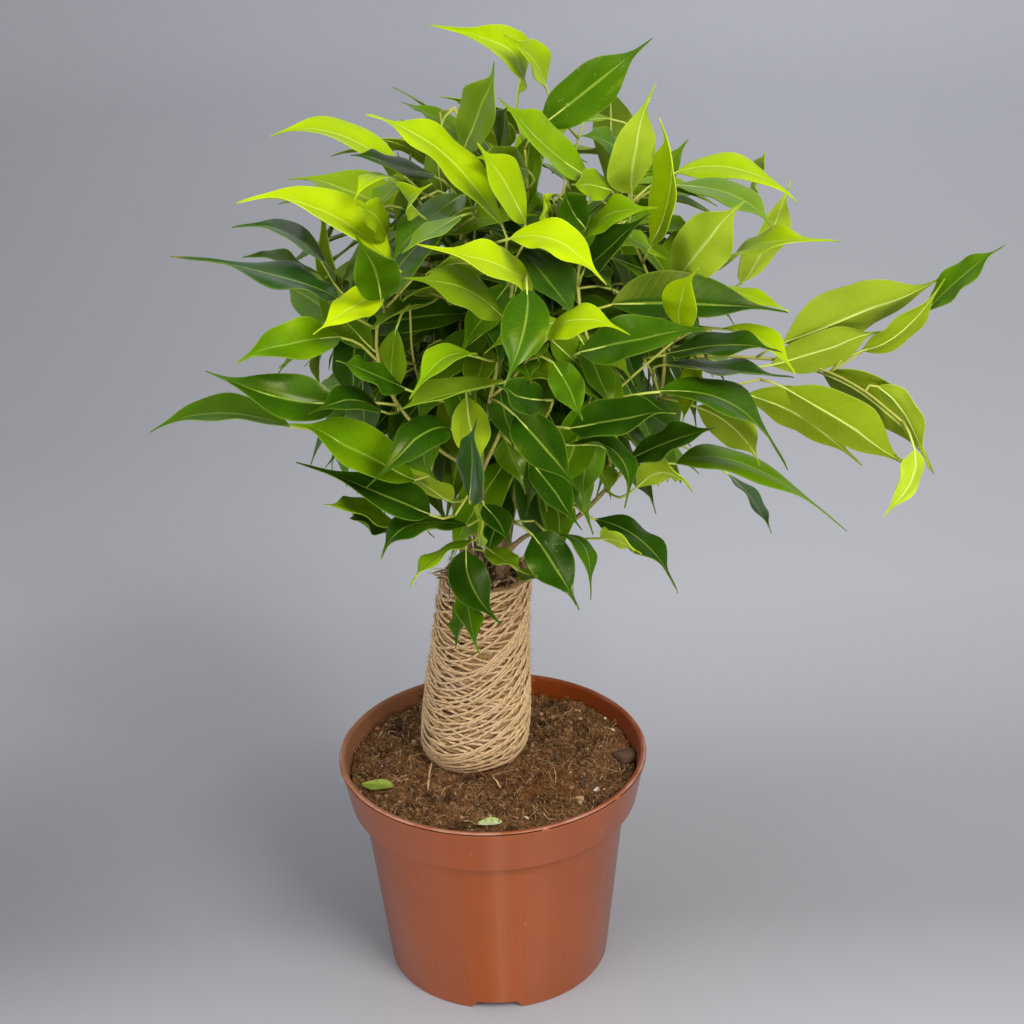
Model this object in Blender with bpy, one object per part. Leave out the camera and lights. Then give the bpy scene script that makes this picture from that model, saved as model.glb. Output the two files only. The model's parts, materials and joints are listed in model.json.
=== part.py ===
"""A small weeping fig: cuttings bound in jute twine, planted in a plastic nursery pot.

Metres, +Z up. The origin is at the middle of the pot's base, on the surface it stands on.
"""
import math
import random

import bmesh
import bpy
from mathutils import Matrix, Vector, noise
from mathutils.bvhtree import BVHTree

SEED = 11
FIT_GAP = 0.0003

# Nursery pot
POT_HEIGHT = 0.107
RIM_RADIUS = 0.070
BASE_RADIUS = 0.0514
BODY_TOP_RADIUS = 0.0604
BAND_HEIGHT = 0.022
BAND_FOOT_RADIUS = 0.0655
POT_WALL = 0.0018
FOOT_HEIGHT = 0.003
FOOT_RING_WIDTH = 0.0055
CENTRE_PAD_RADIUS = 0.020
FLOOR_THICKNESS = 0.0018
LIP_WIDTH = 0.0030
FLOOR_LEVEL = FOOT_HEIGHT + FLOOR_THICKNESS
SHELF_LEVEL = POT_HEIGHT - BAND_HEIGHT
INNER_RIM_RADIUS = RIM_RADIUS - LIP_WIDTH
INNER_BAND_RADIUS = BAND_FOOT_RADIUS - POT_WALL
INNER_BODY_RADIUS = BODY_TOP_RADIUS - POT_WALL
INNER_BASE_RADIUS = BASE_RADIUS - POT_WALL
POT_SIDES = 32
NOTCH_COUNT = 4
NOTCH_WIDTH_FOOT = 0.0254
NOTCH_WIDTH_TOP = 0.0178
NOTCH_HEIGHT = 0.0038
NOTCH_OVERLAP = 0.001
NOTCH_REACH_OUT = 0.004
NOTCH_REACH_IN = 0.0085
NOTCH_START = math.radians(-92.3)
DRAIN_COUNT = 6
DRAIN_RADIUS = 0.0045
DRAIN_CIRCLE = 0.032
DRAIN_SIDES = 6
DRAIN_OVERLAP = 0.002

# Soil
SOIL_LEVEL = 0.0985
SOIL_LUMP = 0.0022
SOIL_LUMP_SCALE = 75
SOIL_LUMP_PLACE = 0.3
SOIL_RINGS = 4
LEVEL_REACH = 0.006
LEVEL_MARGIN = 0.012

# Winding of twine, which leans a little
WRAP_FOOT = Vector((-0.0085, 0.014, SOIL_LEVEL))
WRAP_TOP = Vector((-0.0010, 0.003, 0.194))
WRAP_FOOT_RADIUS = 0.0250
WRAP_TOP_RADIUS = 0.0212
WRAP_INNER_RADIUS = 0.0165
WRAP_COLUMNS = 20
WRAP_ROWS = 20
WRAP_RELIEF = 0.0004
WRAP_BULGE = 0.0008
WRAP_END_STEP = 0.0012
WRAP_CLEARANCE = 0.001
PACKING_DROP = 0.004

# Bits of fallen leaf on the soil: the pixel of the middle, length, width and turn
FALLEN_LEAVES = (
    ((378, 789), 0.0145, 0.0080, math.radians(-8)),
    ((490, 825), 0.0105, 0.0046, math.radians(4)),
)
FALLEN_THICKNESS = 0.0008

# Stems
STEM_COUNT = 7
STEM_RADIUS = 0.0030
STEM_SIDES = 6
STEM_CIRCLE = 0.0092
STEM_HOLE_RADIUS = 0.0040
ROOT_LEVEL = 0.060
HOLE_FLOOR = 0.055
SECTOR_START = math.radians(5)
TWIG_RADIUS = 0.00075
TWIG_GROWTH = 0.42
TWIG_END = 0.0012
STEM_BOW = 0.008
SECTOR_MARGIN = 0.0034
DETOUR_COST = 0.35
FORK_SWELL = 1.15
BOW_PLACE = 0.45
STEM_EXIT = 0.004

# Crown of leaves: an egg of this centre and these half axes
CROWN = Vector((0.012, 0.0, 0.315))
CROWN_HEART = CROWN - Vector((0, 0, 0.03))
CROWN_AXES = Vector((0.122, 0.122, 0.112))
HIDDEN_AXES = Vector((0.100, 0.122, 0.100))
PETIOLE = 0.011
INWARD_SHARE = 0.4
PETIOLE_RADIUS = 0.0005
LEAF_LENGTH = 0.052
LEAF_SLENDERNESS = 0.36
LEAF_THICKNESS = 0.0014
LEAF_FOLD = 0.22
MOST_LEAN = 0.026
SIDEWAYS_LEAN = 0.3
LEAST_SHOWN = 0.3
TEST_MARGIN = 0.0010

# The reference picture's point of view, for the leaves placed along its lines of sight
VIEW_POINT = Vector((0.0, -0.727, 0.552))
VIEW_PITCH = math.radians(24.27)
VIEW_YAW = math.radians(0.944)
VIEW_ROLL = math.radians(1.69)
VIEW_FOCAL = 1853.9
PICTURE_MIDDLE = 512

# Leaves seen in the picture, the nearest first. Each row holds the picture's pixels at the blade's
# foot, middle and tip, its greatest width in pixels, and how far behind the crown's surface it lies,
# in millimetres. A minus width shows the blade's under side.
SEEN_LEAVES = (
    # over the winding and low in front
    ((466, 550), (472, 586), (501, 624), 40, 0),
    ((533, 535), (553, 564), (579, 610), 45, 0),
    ((556, 534), (586, 548), (591, 600), 17, 4),
    ((468, 590), (470, 615), (483, 662), 22, 12),
    ((460, 596), (459, 622), (455, 648), 15, 16),
    ((487, 548), (504, 558), (521, 570), 20, 8),
    ((518, 570), (541, 575), (560, 572), 12, 14),
    ((475, 539), (435, 555), (410, 587), 12, 4),
    ((468, 525), (408, 525), (381, 559), 22, 2),
    ((484, 505), (499, 521), (510, 543), 25, 6),
    ((479, 545), (480, 522), (482, 511), 8, 12),
    # front, middle height
    ((527, 289), (524, 330), (504, 387), 48, 0),
    ((515, 415), (544, 447), (579, 492), 45, 0),
    ((469, 499), (470, 468), (477, 419), 30, 0),
    ((467, 397), (472, 434), (484, 470), -38, 6),
    ((532, 463), (555, 490), (582, 530), 32, 8),
    ((450, 428), (418, 436), (366, 488), 38, 2),
    ((477, 356), (443, 356), (409, 399), 25, 0),
    ((504, 381), (440, 393), (403, 408), 20, 4),
    ((553, 362), (570, 390), (582, 420), 33, 4),
    ((570, 428), (622, 417), (676, 413), 38, 0),
    ((569, 444), (618, 452), (625, 508), 20, 4),
    ((545, 400), (520, 396), (495, 385), 35, 10),
    ((595, 519), (644, 541), (678, 593), 25, 4),
    ((601, 538), (620, 540), (642, 554), -12, 10),
    ((627, 460), (670, 440), (716, 428), 28, 8),
    ((637, 487), (665, 470), (693, 492), -20, 12),
    ((676, 463), (748, 463), (847, 531), 22, 2),
    ((729, 474), (755, 500), (772, 533), 12, 12),
    # front, high
    ((510, 238), (560, 240), (607, 285), 35, 0),
    ((533, 286), (492, 261), (417, 244), 30, 0),
    ((504, 318), (461, 286), (403, 278), 35, 5),
    ((495, 270), (455, 262), (425, 275), -30, 14),
    ((548, 217), (546, 208), (545, 196), 9, 6),
    ((547, 338), (576, 319), (630, 335), 32, 0),
    ((580, 352), (636, 338), (712, 330), 42, 3),
    ((681, 329), (680, 302), (699, 268), 38, 0),
    ((612, 304), (690, 300), (788, 312), 45, 5),
    ((676, 281), (708, 240), (745, 201), -55, 8),
    ((650, 245), (667, 180), (659, 118), 24, 0),
    ((631, 192), (633, 150), (656, 83), -42, 2),
    ((590, 178), (545, 140), (499, 98), 33, 0),
    ((503, 225), (442, 148), (366, 114), 33, 0),
    ((526, 223), (505, 180), (478, 143), 35, 2),
    ((528, 170), (506, 162), (472, 158), 28, 16),
    ((612, 190), (590, 184), (572, 184), 30, 14),
    ((585, 228), (572, 208), (566, 186), 32, 16),
    ((582, 240), (610, 212), (658, 208), 26, 10),
    ((585, 268), (606, 248), (650, 214), 30, 14),
    ((676, 172), (738, 167), (798, 203), 24, 6),
    ((676, 185), (735, 194), (774, 231), 25, 2),
    ((750, 189), (758, 172), (765, 152), 8, 10),
    ((729, 261), (765, 240), (839, 241), 20, 6),
    ((741, 283), (768, 235), (791, 180), -30, 14),
    ((723, 328), (764, 338), (796, 374), 18, 0),
    ((713, 286), (750, 295), (789, 311), 14, 8),
    ((666, 354), (725, 343), (782, 352), 24, 6),
    ((666, 363), (730, 368), (794, 377), 13, 12),
    ((660, 391), (738, 404), (788, 470), 24, 2),
    ((697, 407), (736, 430), (760, 466), -36, 10),
    ((692, 354), (690, 390), (681, 427), 19, 8),
    # top
    ((519, 93), (512, 48), (430, 25), 32, 0),
    ((546, 85), (535, 58), (505, 35), 24, 6),
    ((541, 126), (592, 86), (653, 38), 48, 0),
    ((462, 153), (479, 106), (494, 62), 38, 4),
    ((500, 150), (502, 128), (508, 106), 20, 14),
    ((632, 160), (610, 142), (580, 136), 22, 18),
    # left, high
    ((404, 175), (338, 130), (270, 136), 22, 0),
    ((434, 175), (395, 163), (351, 155), 18, 8),
    ((404, 187), (376, 174), (353, 203), 12, 4),
    ((392, 262), (322, 206), (236, 203), 30, 0),
    ((388, 240), (376, 215), (356, 203), 26, 8),
    ((418, 214), (406, 198), (432, 184), 18, 6),
    ((381, 300), (375, 270), (356, 236), 46, 2),
    ((383, 292), (352, 306), (313, 334), 32, 0),
    ((335, 283), (300, 238), (232, 227), 18, 6),
    ((338, 299), (290, 276), (170, 256), 24, 6),
    ((332, 286), (292, 262), (243, 257), 12, 10),
    ((461, 215), (430, 232), (402, 253), 16, 4),
    # left, middle and low
    ((341, 337), (292, 342), (234, 365), 40, 0),
    ((340, 402), (282, 396), (206, 371), 44, 4),
    ((290, 426), (216, 410), (150, 432), 25, 0),
    ((415, 480), (352, 446), (290, 424), 46, 2),
    ((381, 410), (350, 398), (308, 414), 26, 0),
    ((405, 388), (372, 372), (336, 360), 24, 8),
    ((452, 501), (420, 478), (392, 456), -20, 4),
    ((430, 514), (388, 494), (296, 462), 35, 8),
    ((406, 532), (363, 508), (323, 504), 18, 10),
    ((396, 530), (368, 522), (350, 518), 18, 16),
    # right spray
    ((784, 342), (862, 308), (947, 274), -48, 0),
    ((771, 365), (831, 347), (886, 331), -38, 0),
    ((862, 350), (903, 328), (945, 278), -24, 0),
    ((927, 310), (961, 276), (1005, 245), 25, 4),
    ((823, 373), (882, 405), (934, 474), -40, 0),
    ((786, 388), (850, 424), (917, 470), -46, 5),
    ((748, 394), (805, 416), (862, 465), -40, 9),
    ((878, 386), (907, 414), (930, 470), -24, 8),
    ((914, 449), (909, 482), (883, 517), -22, 6),
)
RIGHT_SPRAY_LEAVES = 9

# Leaves the picture hides: shells of them, each with a count, how far out it lies on the crown as a
# share of its half axes, and the share for the side that faces the view
HIDDEN_SHELLS = ((88, 0.80, 0.60), (24, 0.46, 0.38))
SHELL_TOP = 0.95
SHELL_HEIGHT = 1.88
SHELL_LOOSENESS = 0.14
FRONT_START = 0.12
GOLDEN_ANGLE = math.pi * (3 - math.sqrt(5))
HIDDEN_OUTWARD = 0.65
HIDDEN_DROOP = (0.2, 0.9)
HIDDEN_STRAY = 0.5
HIDDEN_LENGTHS = (0.050, 0.064)
HIDDEN_HALF = 0.48
HIDDEN_FOOT_SAG = 0.06
HIDDEN_TIP_SAG = 0.10
DRAWS = 14
FLAT_ANGLE = math.radians(0.3)
NUDGES = (0, 3, 6, -3, 9, 12, 16, 20, -6, 25, 30, 36, 42)
ROUNDS = 8
NEAR_BLADES = 0.09
NEAR_FEET = 0.12


def turn_toward(px, py):
    """The unit direction of the line of sight through a pixel of the reference picture."""
    across = (px - PICTURE_MIDDLE) / VIEW_FOCAL
    above = (PICTURE_MIDDLE - py) / VIEW_FOCAL
    side = across * math.cos(VIEW_ROLL) + above * math.sin(VIEW_ROLL)
    rise = above * math.cos(VIEW_ROLL) - across * math.sin(VIEW_ROLL)
    ahead = math.cos(VIEW_PITCH) + rise * math.sin(VIEW_PITCH)
    height = rise * math.cos(VIEW_PITCH) - math.sin(VIEW_PITCH)
    return Vector((
        side * math.cos(VIEW_YAW) + ahead * math.sin(VIEW_YAW),
        ahead * math.cos(VIEW_YAW) - side * math.sin(VIEW_YAW),
        height,
    )).normalized()


def sight_point(pixel, depth):
    """The point on a pixel's line of sight at a given y."""
    ray = turn_toward(*pixel)
    return VIEW_POINT + ray * ((depth - VIEW_POINT.y) / ray.y)


def crown_front(pixel):
    """The y at which a pixel's line of sight meets the crown, or passes nearest to its middle."""
    ray = turn_toward(*pixel)
    scaled_ray = Vector(r / a for r, a in zip(ray, CROWN_AXES))
    scaled_start = Vector(s / a for s, a in zip(VIEW_POINT - CROWN, CROWN_AXES))
    a = scaled_ray.length_squared
    b = scaled_ray.dot(scaled_start)
    c = scaled_start.length_squared - 1
    reach = (-b - math.sqrt(max(0.0, b * b - a * c))) / a
    return (VIEW_POINT + ray * reach).y


def in_sector(point):
    """The stem whose sector of the crown holds a point, and the point moved clear of its sides."""
    width = math.tau / STEM_COUNT
    away = point - WRAP_TOP
    angle = math.atan2(away.y, away.x) - SECTOR_START
    stem = round(angle / width) % STEM_COUNT
    middle = SECTOR_START + stem * width
    off = math.remainder(angle - stem * width, math.tau)
    radius = max(math.hypot(away.x, away.y), SECTOR_MARGIN / math.sin(width / 2) + 0.0001)
    room = width / 2 - math.asin(SECTOR_MARGIN / radius)
    angle = middle + max(-room, min(room, off))
    return stem, WRAP_TOP + Vector((radius * math.cos(angle), radius * math.sin(angle), away.z))


class Leaf:
    """One leaf: its midrib's foot, middle and tip, its width and the way its upper side faces."""

    def __init__(self, foot, middle, tip, width, up, stations):
        self.points = (foot, middle, tip)
        self.width = width
        self.up = up
        self.stations = stations
        inward = (CROWN_HEART - foot).normalized()
        back = (foot - middle).normalized() * (1 - INWARD_SHARE) + inward * INWARD_SHARE
        self.stem, self.root = in_sector(foot + back.normalized() * PETIOLE)

    def midrib(self, t):
        foot, middle, tip = self.points
        return foot * ((1 - t) * (1 - 2 * t)) + middle * (4 * t * (1 - t)) + tip * (t * (2 * t - 1))

    def ring(self, t, share, extra=0.0):
        """The four corners of the blade's section at t, share of its full width there."""
        along = (self.midrib(t + 0.02) - self.midrib(t - 0.02)).normalized()
        up = (self.up - along * self.up.dot(along)).normalized()
        side = along.cross(up)
        half = share * self.width / 2
        thick = up * (LEAF_THICKNESS / 2 + extra)
        lift = up * (half * LEAF_FOLD)
        out = side * (half + extra)
        middle = self.midrib(t) - lift / 2
        return [middle - out + lift, middle + thick, middle + out + lift, middle - thick]

    def skin(self, extra=0.0):
        """The rings of the whole leaf, from the petiole's root in the twig to the blade's tip."""
        foot = self.points[0]
        along = (foot - self.root).normalized()
        side = along.cross(self.up).normalized()
        up = side.cross(along)
        half = PETIOLE_RADIUS + extra
        start = self.root - along * PETIOLE_RADIUS
        rings = [[start - side * half, start + up * half, start + side * half, start - up * half]]
        rings += [self.ring(t, share, extra) for t, share in self.stations]
        rings.append([self.midrib(1.0)])
        return rings


SEEN_STATIONS = ((0.0, 0.10), (0.24, 0.84), (0.52, 0.96), (0.84, 0.22))
HIDDEN_STATIONS = ((0.0, 0.10), (0.38, 1.0), (0.80, 0.28))


def seen_leaf(row, nudge, sideways):
    """A leaf on the picture's lines of sight, nudge behind the depth that its row gives."""
    foot_px, middle_px, tip_px, width_px, inset = row
    depth = crown_front(middle_px) + (inset * 0.001 if not sideways else 0.0) + nudge
    middle = sight_point(middle_px, depth)
    scale = (middle - VIEW_POINT).length / VIEW_FOCAL
    apart = (Vector(tip_px) - Vector(foot_px)).length * scale
    lean = math.sqrt(max(0.0, LEAF_LENGTH ** 2 - apart ** 2))
    lean = min(lean, MOST_LEAN) * (SIDEWAYS_LEAN if sideways else 1.0)
    foot = sight_point(foot_px, depth + lean / 2)
    tip = sight_point(tip_px, depth - lean / 2)
    along = (tip - foot).normalized()
    to_view = (VIEW_POINT - middle).normalized()
    facing = (to_view - along * to_view.dot(along)).normalized()
    width = abs(width_px) * scale
    full = max(width, LEAF_SLENDERNESS * (tip - foot).length)
    turn = math.acos(max(LEAST_SHOWN, width / full))
    ways = [Matrix.Rotation(angle, 3, along) @ facing for angle in (turn, -turn)]
    if width_px < 0:
        ways = [-way for way in ways]
    up = max(ways, key=lambda way: way.z)
    return Leaf(foot, middle, tip, full, up, SEEN_STATIONS)


def hidden_leaf(index, shell, draw):
    """A leaf of a hidden shell, spread by the golden angle; each draw loosens its place further."""
    count, reach, front_reach = shell
    rise = SHELL_TOP - SHELL_HEIGHT * (index + 0.5) / count
    turn = index * GOLDEN_ANGLE
    level = math.sqrt(1 - rise * rise)
    out = Vector((level * math.cos(turn), level * math.sin(turn), rise))
    out += Vector([draw.uniform(-SHELL_LOOSENESS, SHELL_LOOSENESS) for _ in range(3)])
    out.normalize()
    to_view = (VIEW_POINT - CROWN).normalized()
    share = front_reach if out.dot(to_view) > FRONT_START else reach
    middle = CROWN + Vector(o * a for o, a in zip(out, HIDDEN_AXES)) * share
    droop = Vector((0, 0, -draw.uniform(*HIDDEN_DROOP)))
    stray = Vector([draw.uniform(-HIDDEN_STRAY, HIDDEN_STRAY) for _ in range(3)])
    along = (out * HIDDEN_OUTWARD + droop + stray).normalized()
    length = draw.uniform(*HIDDEN_LENGTHS)
    up = (Vector((0, 0, 0.5)) + out + stray / 2).normalized()
    up = (up - along * up.dot(along)).normalized()
    foot = middle - along * (length * HIDDEN_HALF) - up * (length * HIDDEN_FOOT_SAG)
    tip = middle + along * (length * HIDDEN_HALF) - up * (length * HIDDEN_TIP_SAG)
    return Leaf(foot, middle, tip, length * LEAF_SLENDERNESS, up, HIDDEN_STATIONS)


def skin_faces(rings):
    """Points and triangles of the closed skin over rings of corners, split alike on both sides."""
    points = [p for ring in rings for p in ring]
    sides = len(rings[0])
    faces = [(0, k + 1, k) for k in range(1, sides - 1)]
    start = 0
    for ring, following in zip(rings, rings[1:]):
        ahead = start + sides
        for k in range(sides):
            other = (k + 1) % sides
            if len(following) == 1:
                faces.append((start + k, start + other, ahead))
            elif k % 2:
                faces.append((start + k, start + other, ahead + k))
                faces.append((start + other, ahead + other, ahead + k))
            else:
                faces.append((start + k, start + other, ahead + other))
                faces.append((start + k, ahead + other, ahead + k))
        start = ahead
    if len(rings[-1]) > 1:
        faces += [(start, start + k, start + k + 1) for k in range(1, sides - 1)]
    return points, faces


def tree_of(rings):
    return BVHTree.FromPolygons(*skin_faces(rings))


def tube_rings(route, radii, sides, extra=0.0, end_across=Vector((0.3, 1.0, 0.2))):
    """Rings round a route of points, square to it, that turn with it as little as they can."""
    rings = []
    across = end_across
    for k in reversed(range(len(route))):
        point = route[k]
        along = (route[min(k + 1, len(route) - 1)] - route[max(k - 1, 0)]).normalized()
        across = (across - along * across.dot(along)).normalized()
        side = along.cross(across)
        radius = radii[k] + extra
        rings.append([
            point + (across * math.cos(a) + side * math.sin(a)) * radius
            for a in (math.tau * n / sides for n in range(sides))
        ])
    return rings[::-1]


def stem_line(stem, z):
    """Where a stem's straight lower part passes at a height, side by side with the winding."""
    lean = (WRAP_TOP - WRAP_FOOT) / (WRAP_TOP.z - WRAP_FOOT.z)
    angle = SECTOR_START + stem * math.tau / STEM_COUNT
    place = WRAP_FOOT + lean * (z - WRAP_FOOT.z)
    return place + Vector((STEM_CIRCLE * math.cos(angle), STEM_CIRCLE * math.sin(angle), 0))


def grow(leaves, stem):
    """The twigs of a stem: routes with their radii, from its root to the petioles of its leaves.

    Each petiole joins the nearest twig, with a cost on the way from there to the ground, so that
    the twigs run outwards. The thickness follows from how many leaves a twig carries. Each twig
    comes with the leaf at its end, and the other leaves follow.
    """
    start = stem_line(stem, WRAP_TOP.z + STEM_EXIT)
    own = sorted((leaf for leaf in leaves if leaf.stem == stem),
                 key=lambda leaf: (leaf.root - start).length)
    nodes = [start]
    ways = [0.0]
    parents = [-1]
    for root in (leaf.root for leaf in own):
        costs = [(root - n).length + DETOUR_COST * w for n, w in zip(nodes, ways)]
        parent = costs.index(min(costs))
        nodes.append(root)
        parents.append(parent)
        ways.append(ways[parent] + (root - nodes[parent]).length)
    load = [1] * len(nodes)
    for k in range(len(nodes) - 1, 0, -1):
        load[parents[k]] += load[k]
    load = [n if k else n - 1 for k, n in enumerate(load)]
    radii = [min(STEM_RADIUS, TWIG_RADIUS * max(1, n) ** TWIG_GROWTH) for n in load]
    children = [[] for _ in nodes]
    for k in range(1, len(nodes)):
        children[parents[k]].append(k)
    twigs = []
    side_leaves = set(range(1, len(nodes)))
    waiting = [[0]]
    while waiting:
        line = waiting.pop()
        while children[line[-1]]:
            ranked = sorted(children[line[-1]], key=lambda k: -load[k])
            waiting += [[line[-1], k] for k in ranked[1:]]
            line.append(ranked[0])
        route = [nodes[k] for k in line]
        radius = [radii[k] for k in line]
        radius[0] = min(radius[0], radius[1] * FORK_SWELL)
        end_leaf = None
        if line[0] == 0:
            bow = route[0].lerp(route[1], BOW_PLACE) + Vector((0, 0, STEM_BOW))
            route = [stem_line(stem, ROOT_LEVEL), start, bow] + route[1:]
            radius = [STEM_RADIUS, STEM_RADIUS, radius[1]] + radius[1:]
            route[-1] = route[-1] + (route[-1] - route[-2]).normalized() * TWIG_END
        else:
            end_leaf = own[line[-1] - 1]
            side_leaves.discard(line[-1])
        twigs.append((route, radius, end_leaf))
    return twigs, [own[k - 1] for k in sorted(side_leaves)]


def twig_rings(route, radii, end_leaf, extra=0.0):
    """A stem's rings, or those of a twig that runs on into its last leaf."""
    if end_leaf is None:
        return tube_rings(route, radii, STEM_SIDES, extra)
    leaf_rings = end_leaf.skin(extra)
    across = (leaf_rings[1][0] - leaf_rings[1][2]).normalized()
    return tube_rings(route, radii, 4, extra, across) + leaf_rings[1:]


def wrap_radius(share):
    """The winding's outer radius, from its foot at 0 to its top at 1, a little fuller low down."""
    taper = WRAP_FOOT_RADIUS + (WRAP_TOP_RADIUS - WRAP_FOOT_RADIUS) * share
    return taper + WRAP_BULGE * math.sin(math.tau * share)


def obstacles():
    """What no leaf may touch: the winding."""
    reach = [WRAP_FOOT.lerp(WRAP_TOP, k / 4) for k in range(5)]
    wrap = tube_rings(reach, [wrap_radius(k / 4) + WRAP_CLEARANCE for k in range(5)], WRAP_COLUMNS)
    return [tree_of(wrap)]


class Plant:
    """All leaves, placed one by one clear of each other, and then clear of other stems' twigs."""

    def __init__(self):
        self.draw = random.Random(SEED)
        self.fixed = obstacles()
        self.leaves = []
        self.tests = []
        first_spray = len(SEEN_LEAVES) - RIGHT_SPRAY_LEAVES
        for k, row in enumerate(SEEN_LEAVES):
            ways = [lambda n=n, r=row, s=k >= first_spray: seen_leaf(r, n * 0.001, s) for n in NUDGES]
            self.place(ways)
        for shell in HIDDEN_SHELLS:
            for k in range(shell[0]):
                self.place([lambda i=k, s=shell: hidden_leaf(i, s, self.draw)] * DRAWS)
        self.clear_twigs()

    def is_clear(self, leaf, tree):
        if any(tree.overlap(other) for other in self.fixed):
            return False
        for other, (other_tree, _) in zip(self.leaves, self.tests):
            near = (other.points[1] - leaf.points[1]).length < NEAR_BLADES
            if near and tree.overlap(other_tree):
                return False
        return True

    def place(self, ways):
        for n, way in enumerate(ways):
            leaf = way()
            tree = tree_of(leaf.skin(TEST_MARGIN / 2)[1:])
            if self.is_clear(leaf, tree):
                self.leaves.append(leaf)
                self.tests.append((tree, ways[n + 1:]))
                return

    def clear_twigs(self):
        """Leaves that meet another stem's twigs or petioles move to their next place, or go."""
        hit = True
        rounds = 0
        while hit:
            rounds += 1
            twigs = [grow(self.leaves, s) for s in range(STEM_COUNT)]
            wood = [[tree_of(tube_rings(twig[0], twig[1], 4, TEST_MARGIN / 2)) for twig in ways[0]]
                    for ways in twigs]
            whole = [tree_of(leaf.skin(TEST_MARGIN / 2)) for leaf in self.leaves]
            hit = []
            for k, leaf in enumerate(self.leaves):
                others = [t for s in range(STEM_COUNT) if s != leaf.stem for t in wood[s]]
                if any(whole[k].overlap(t) for t in others):
                    hit.append(k)
                    continue
                for j in range(k):
                    other = self.leaves[j]
                    apart = (other.points[0] - leaf.points[0]).length
                    if other.stem != leaf.stem and apart < NEAR_FEET and whole[k].overlap(whole[j]):
                        hit.append(k)
                        break
            again = [self.tests[k][1] for k in hit]
            for k in reversed(hit):
                del self.leaves[k]
                del self.tests[k]
            if rounds < ROUNDS:
                for ways in again:
                    self.place(ways)


def new_material(name, colour, roughness):
    material = bpy.data.materials.new(name)
    material.use_nodes = True
    shader = material.node_tree.nodes["Principled BSDF"]
    shader.inputs["Base Color"].default_value = (*colour, 1)
    shader.inputs["Roughness"].default_value = roughness
    shader.inputs["Metallic"].default_value = 0.0
    return material


def add_object(name, mesh, material=None):
    part = bpy.data.objects.new(name, mesh)
    bpy.context.scene.collection.objects.link(part)
    if material:
        mesh.materials.append(material)
    return part


def mesh_of(name, points, faces):
    mesh = bpy.data.meshes.new(name)
    mesh.from_pydata([tuple(p) for p in points], [], faces)
    return mesh


def turned(profile, sides):
    """A closed body turned round the Z axis from an outline of (radius, height) points."""
    shape = bmesh.new()
    corners = [shape.verts.new((radius, 0, height)) for radius, height in profile]
    edges = [shape.edges.new(pair) for pair in zip(corners, corners[1:])]
    bmesh.ops.spin(shape, geom=corners + edges, axis=(0, 0, 1), cent=(0, 0, 0), dvec=(0, 0, 0),
                   angle=math.tau, steps=sides, use_merge=True)
    bmesh.ops.remove_doubles(shape, verts=shape.verts, dist=0.000001)
    bmesh.ops.recalc_face_normals(shape, faces=shape.faces)
    return shape


def finish_mesh(name, shape):
    mesh = bpy.data.meshes.new(name)
    shape.to_mesh(mesh)
    shape.free()
    return mesh


def cut(part, cutters, name):
    """Cuts a group of hidden bodies out of a part."""
    group = bpy.data.collections.new(name)
    bpy.context.scene.collection.children.link(group)
    for k, mesh in enumerate(cutters):
        cutter = bpy.data.objects.new(f"{name}_{k + 1}", mesh)
        cutter.hide_render = True
        cutter.display_type = "WIRE"
        group.objects.link(cutter)
    boolean = part.modifiers.new(name, "BOOLEAN")
    boolean.operation = "DIFFERENCE"
    boolean.operand_type = "COLLECTION"
    boolean.collection = group
    boolean.solver = "EXACT"


def rod(name, low, high, radius, sides):
    return mesh_of(name, *skin_faces(tube_rings([low, high], [radius, radius], sides)))


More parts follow.
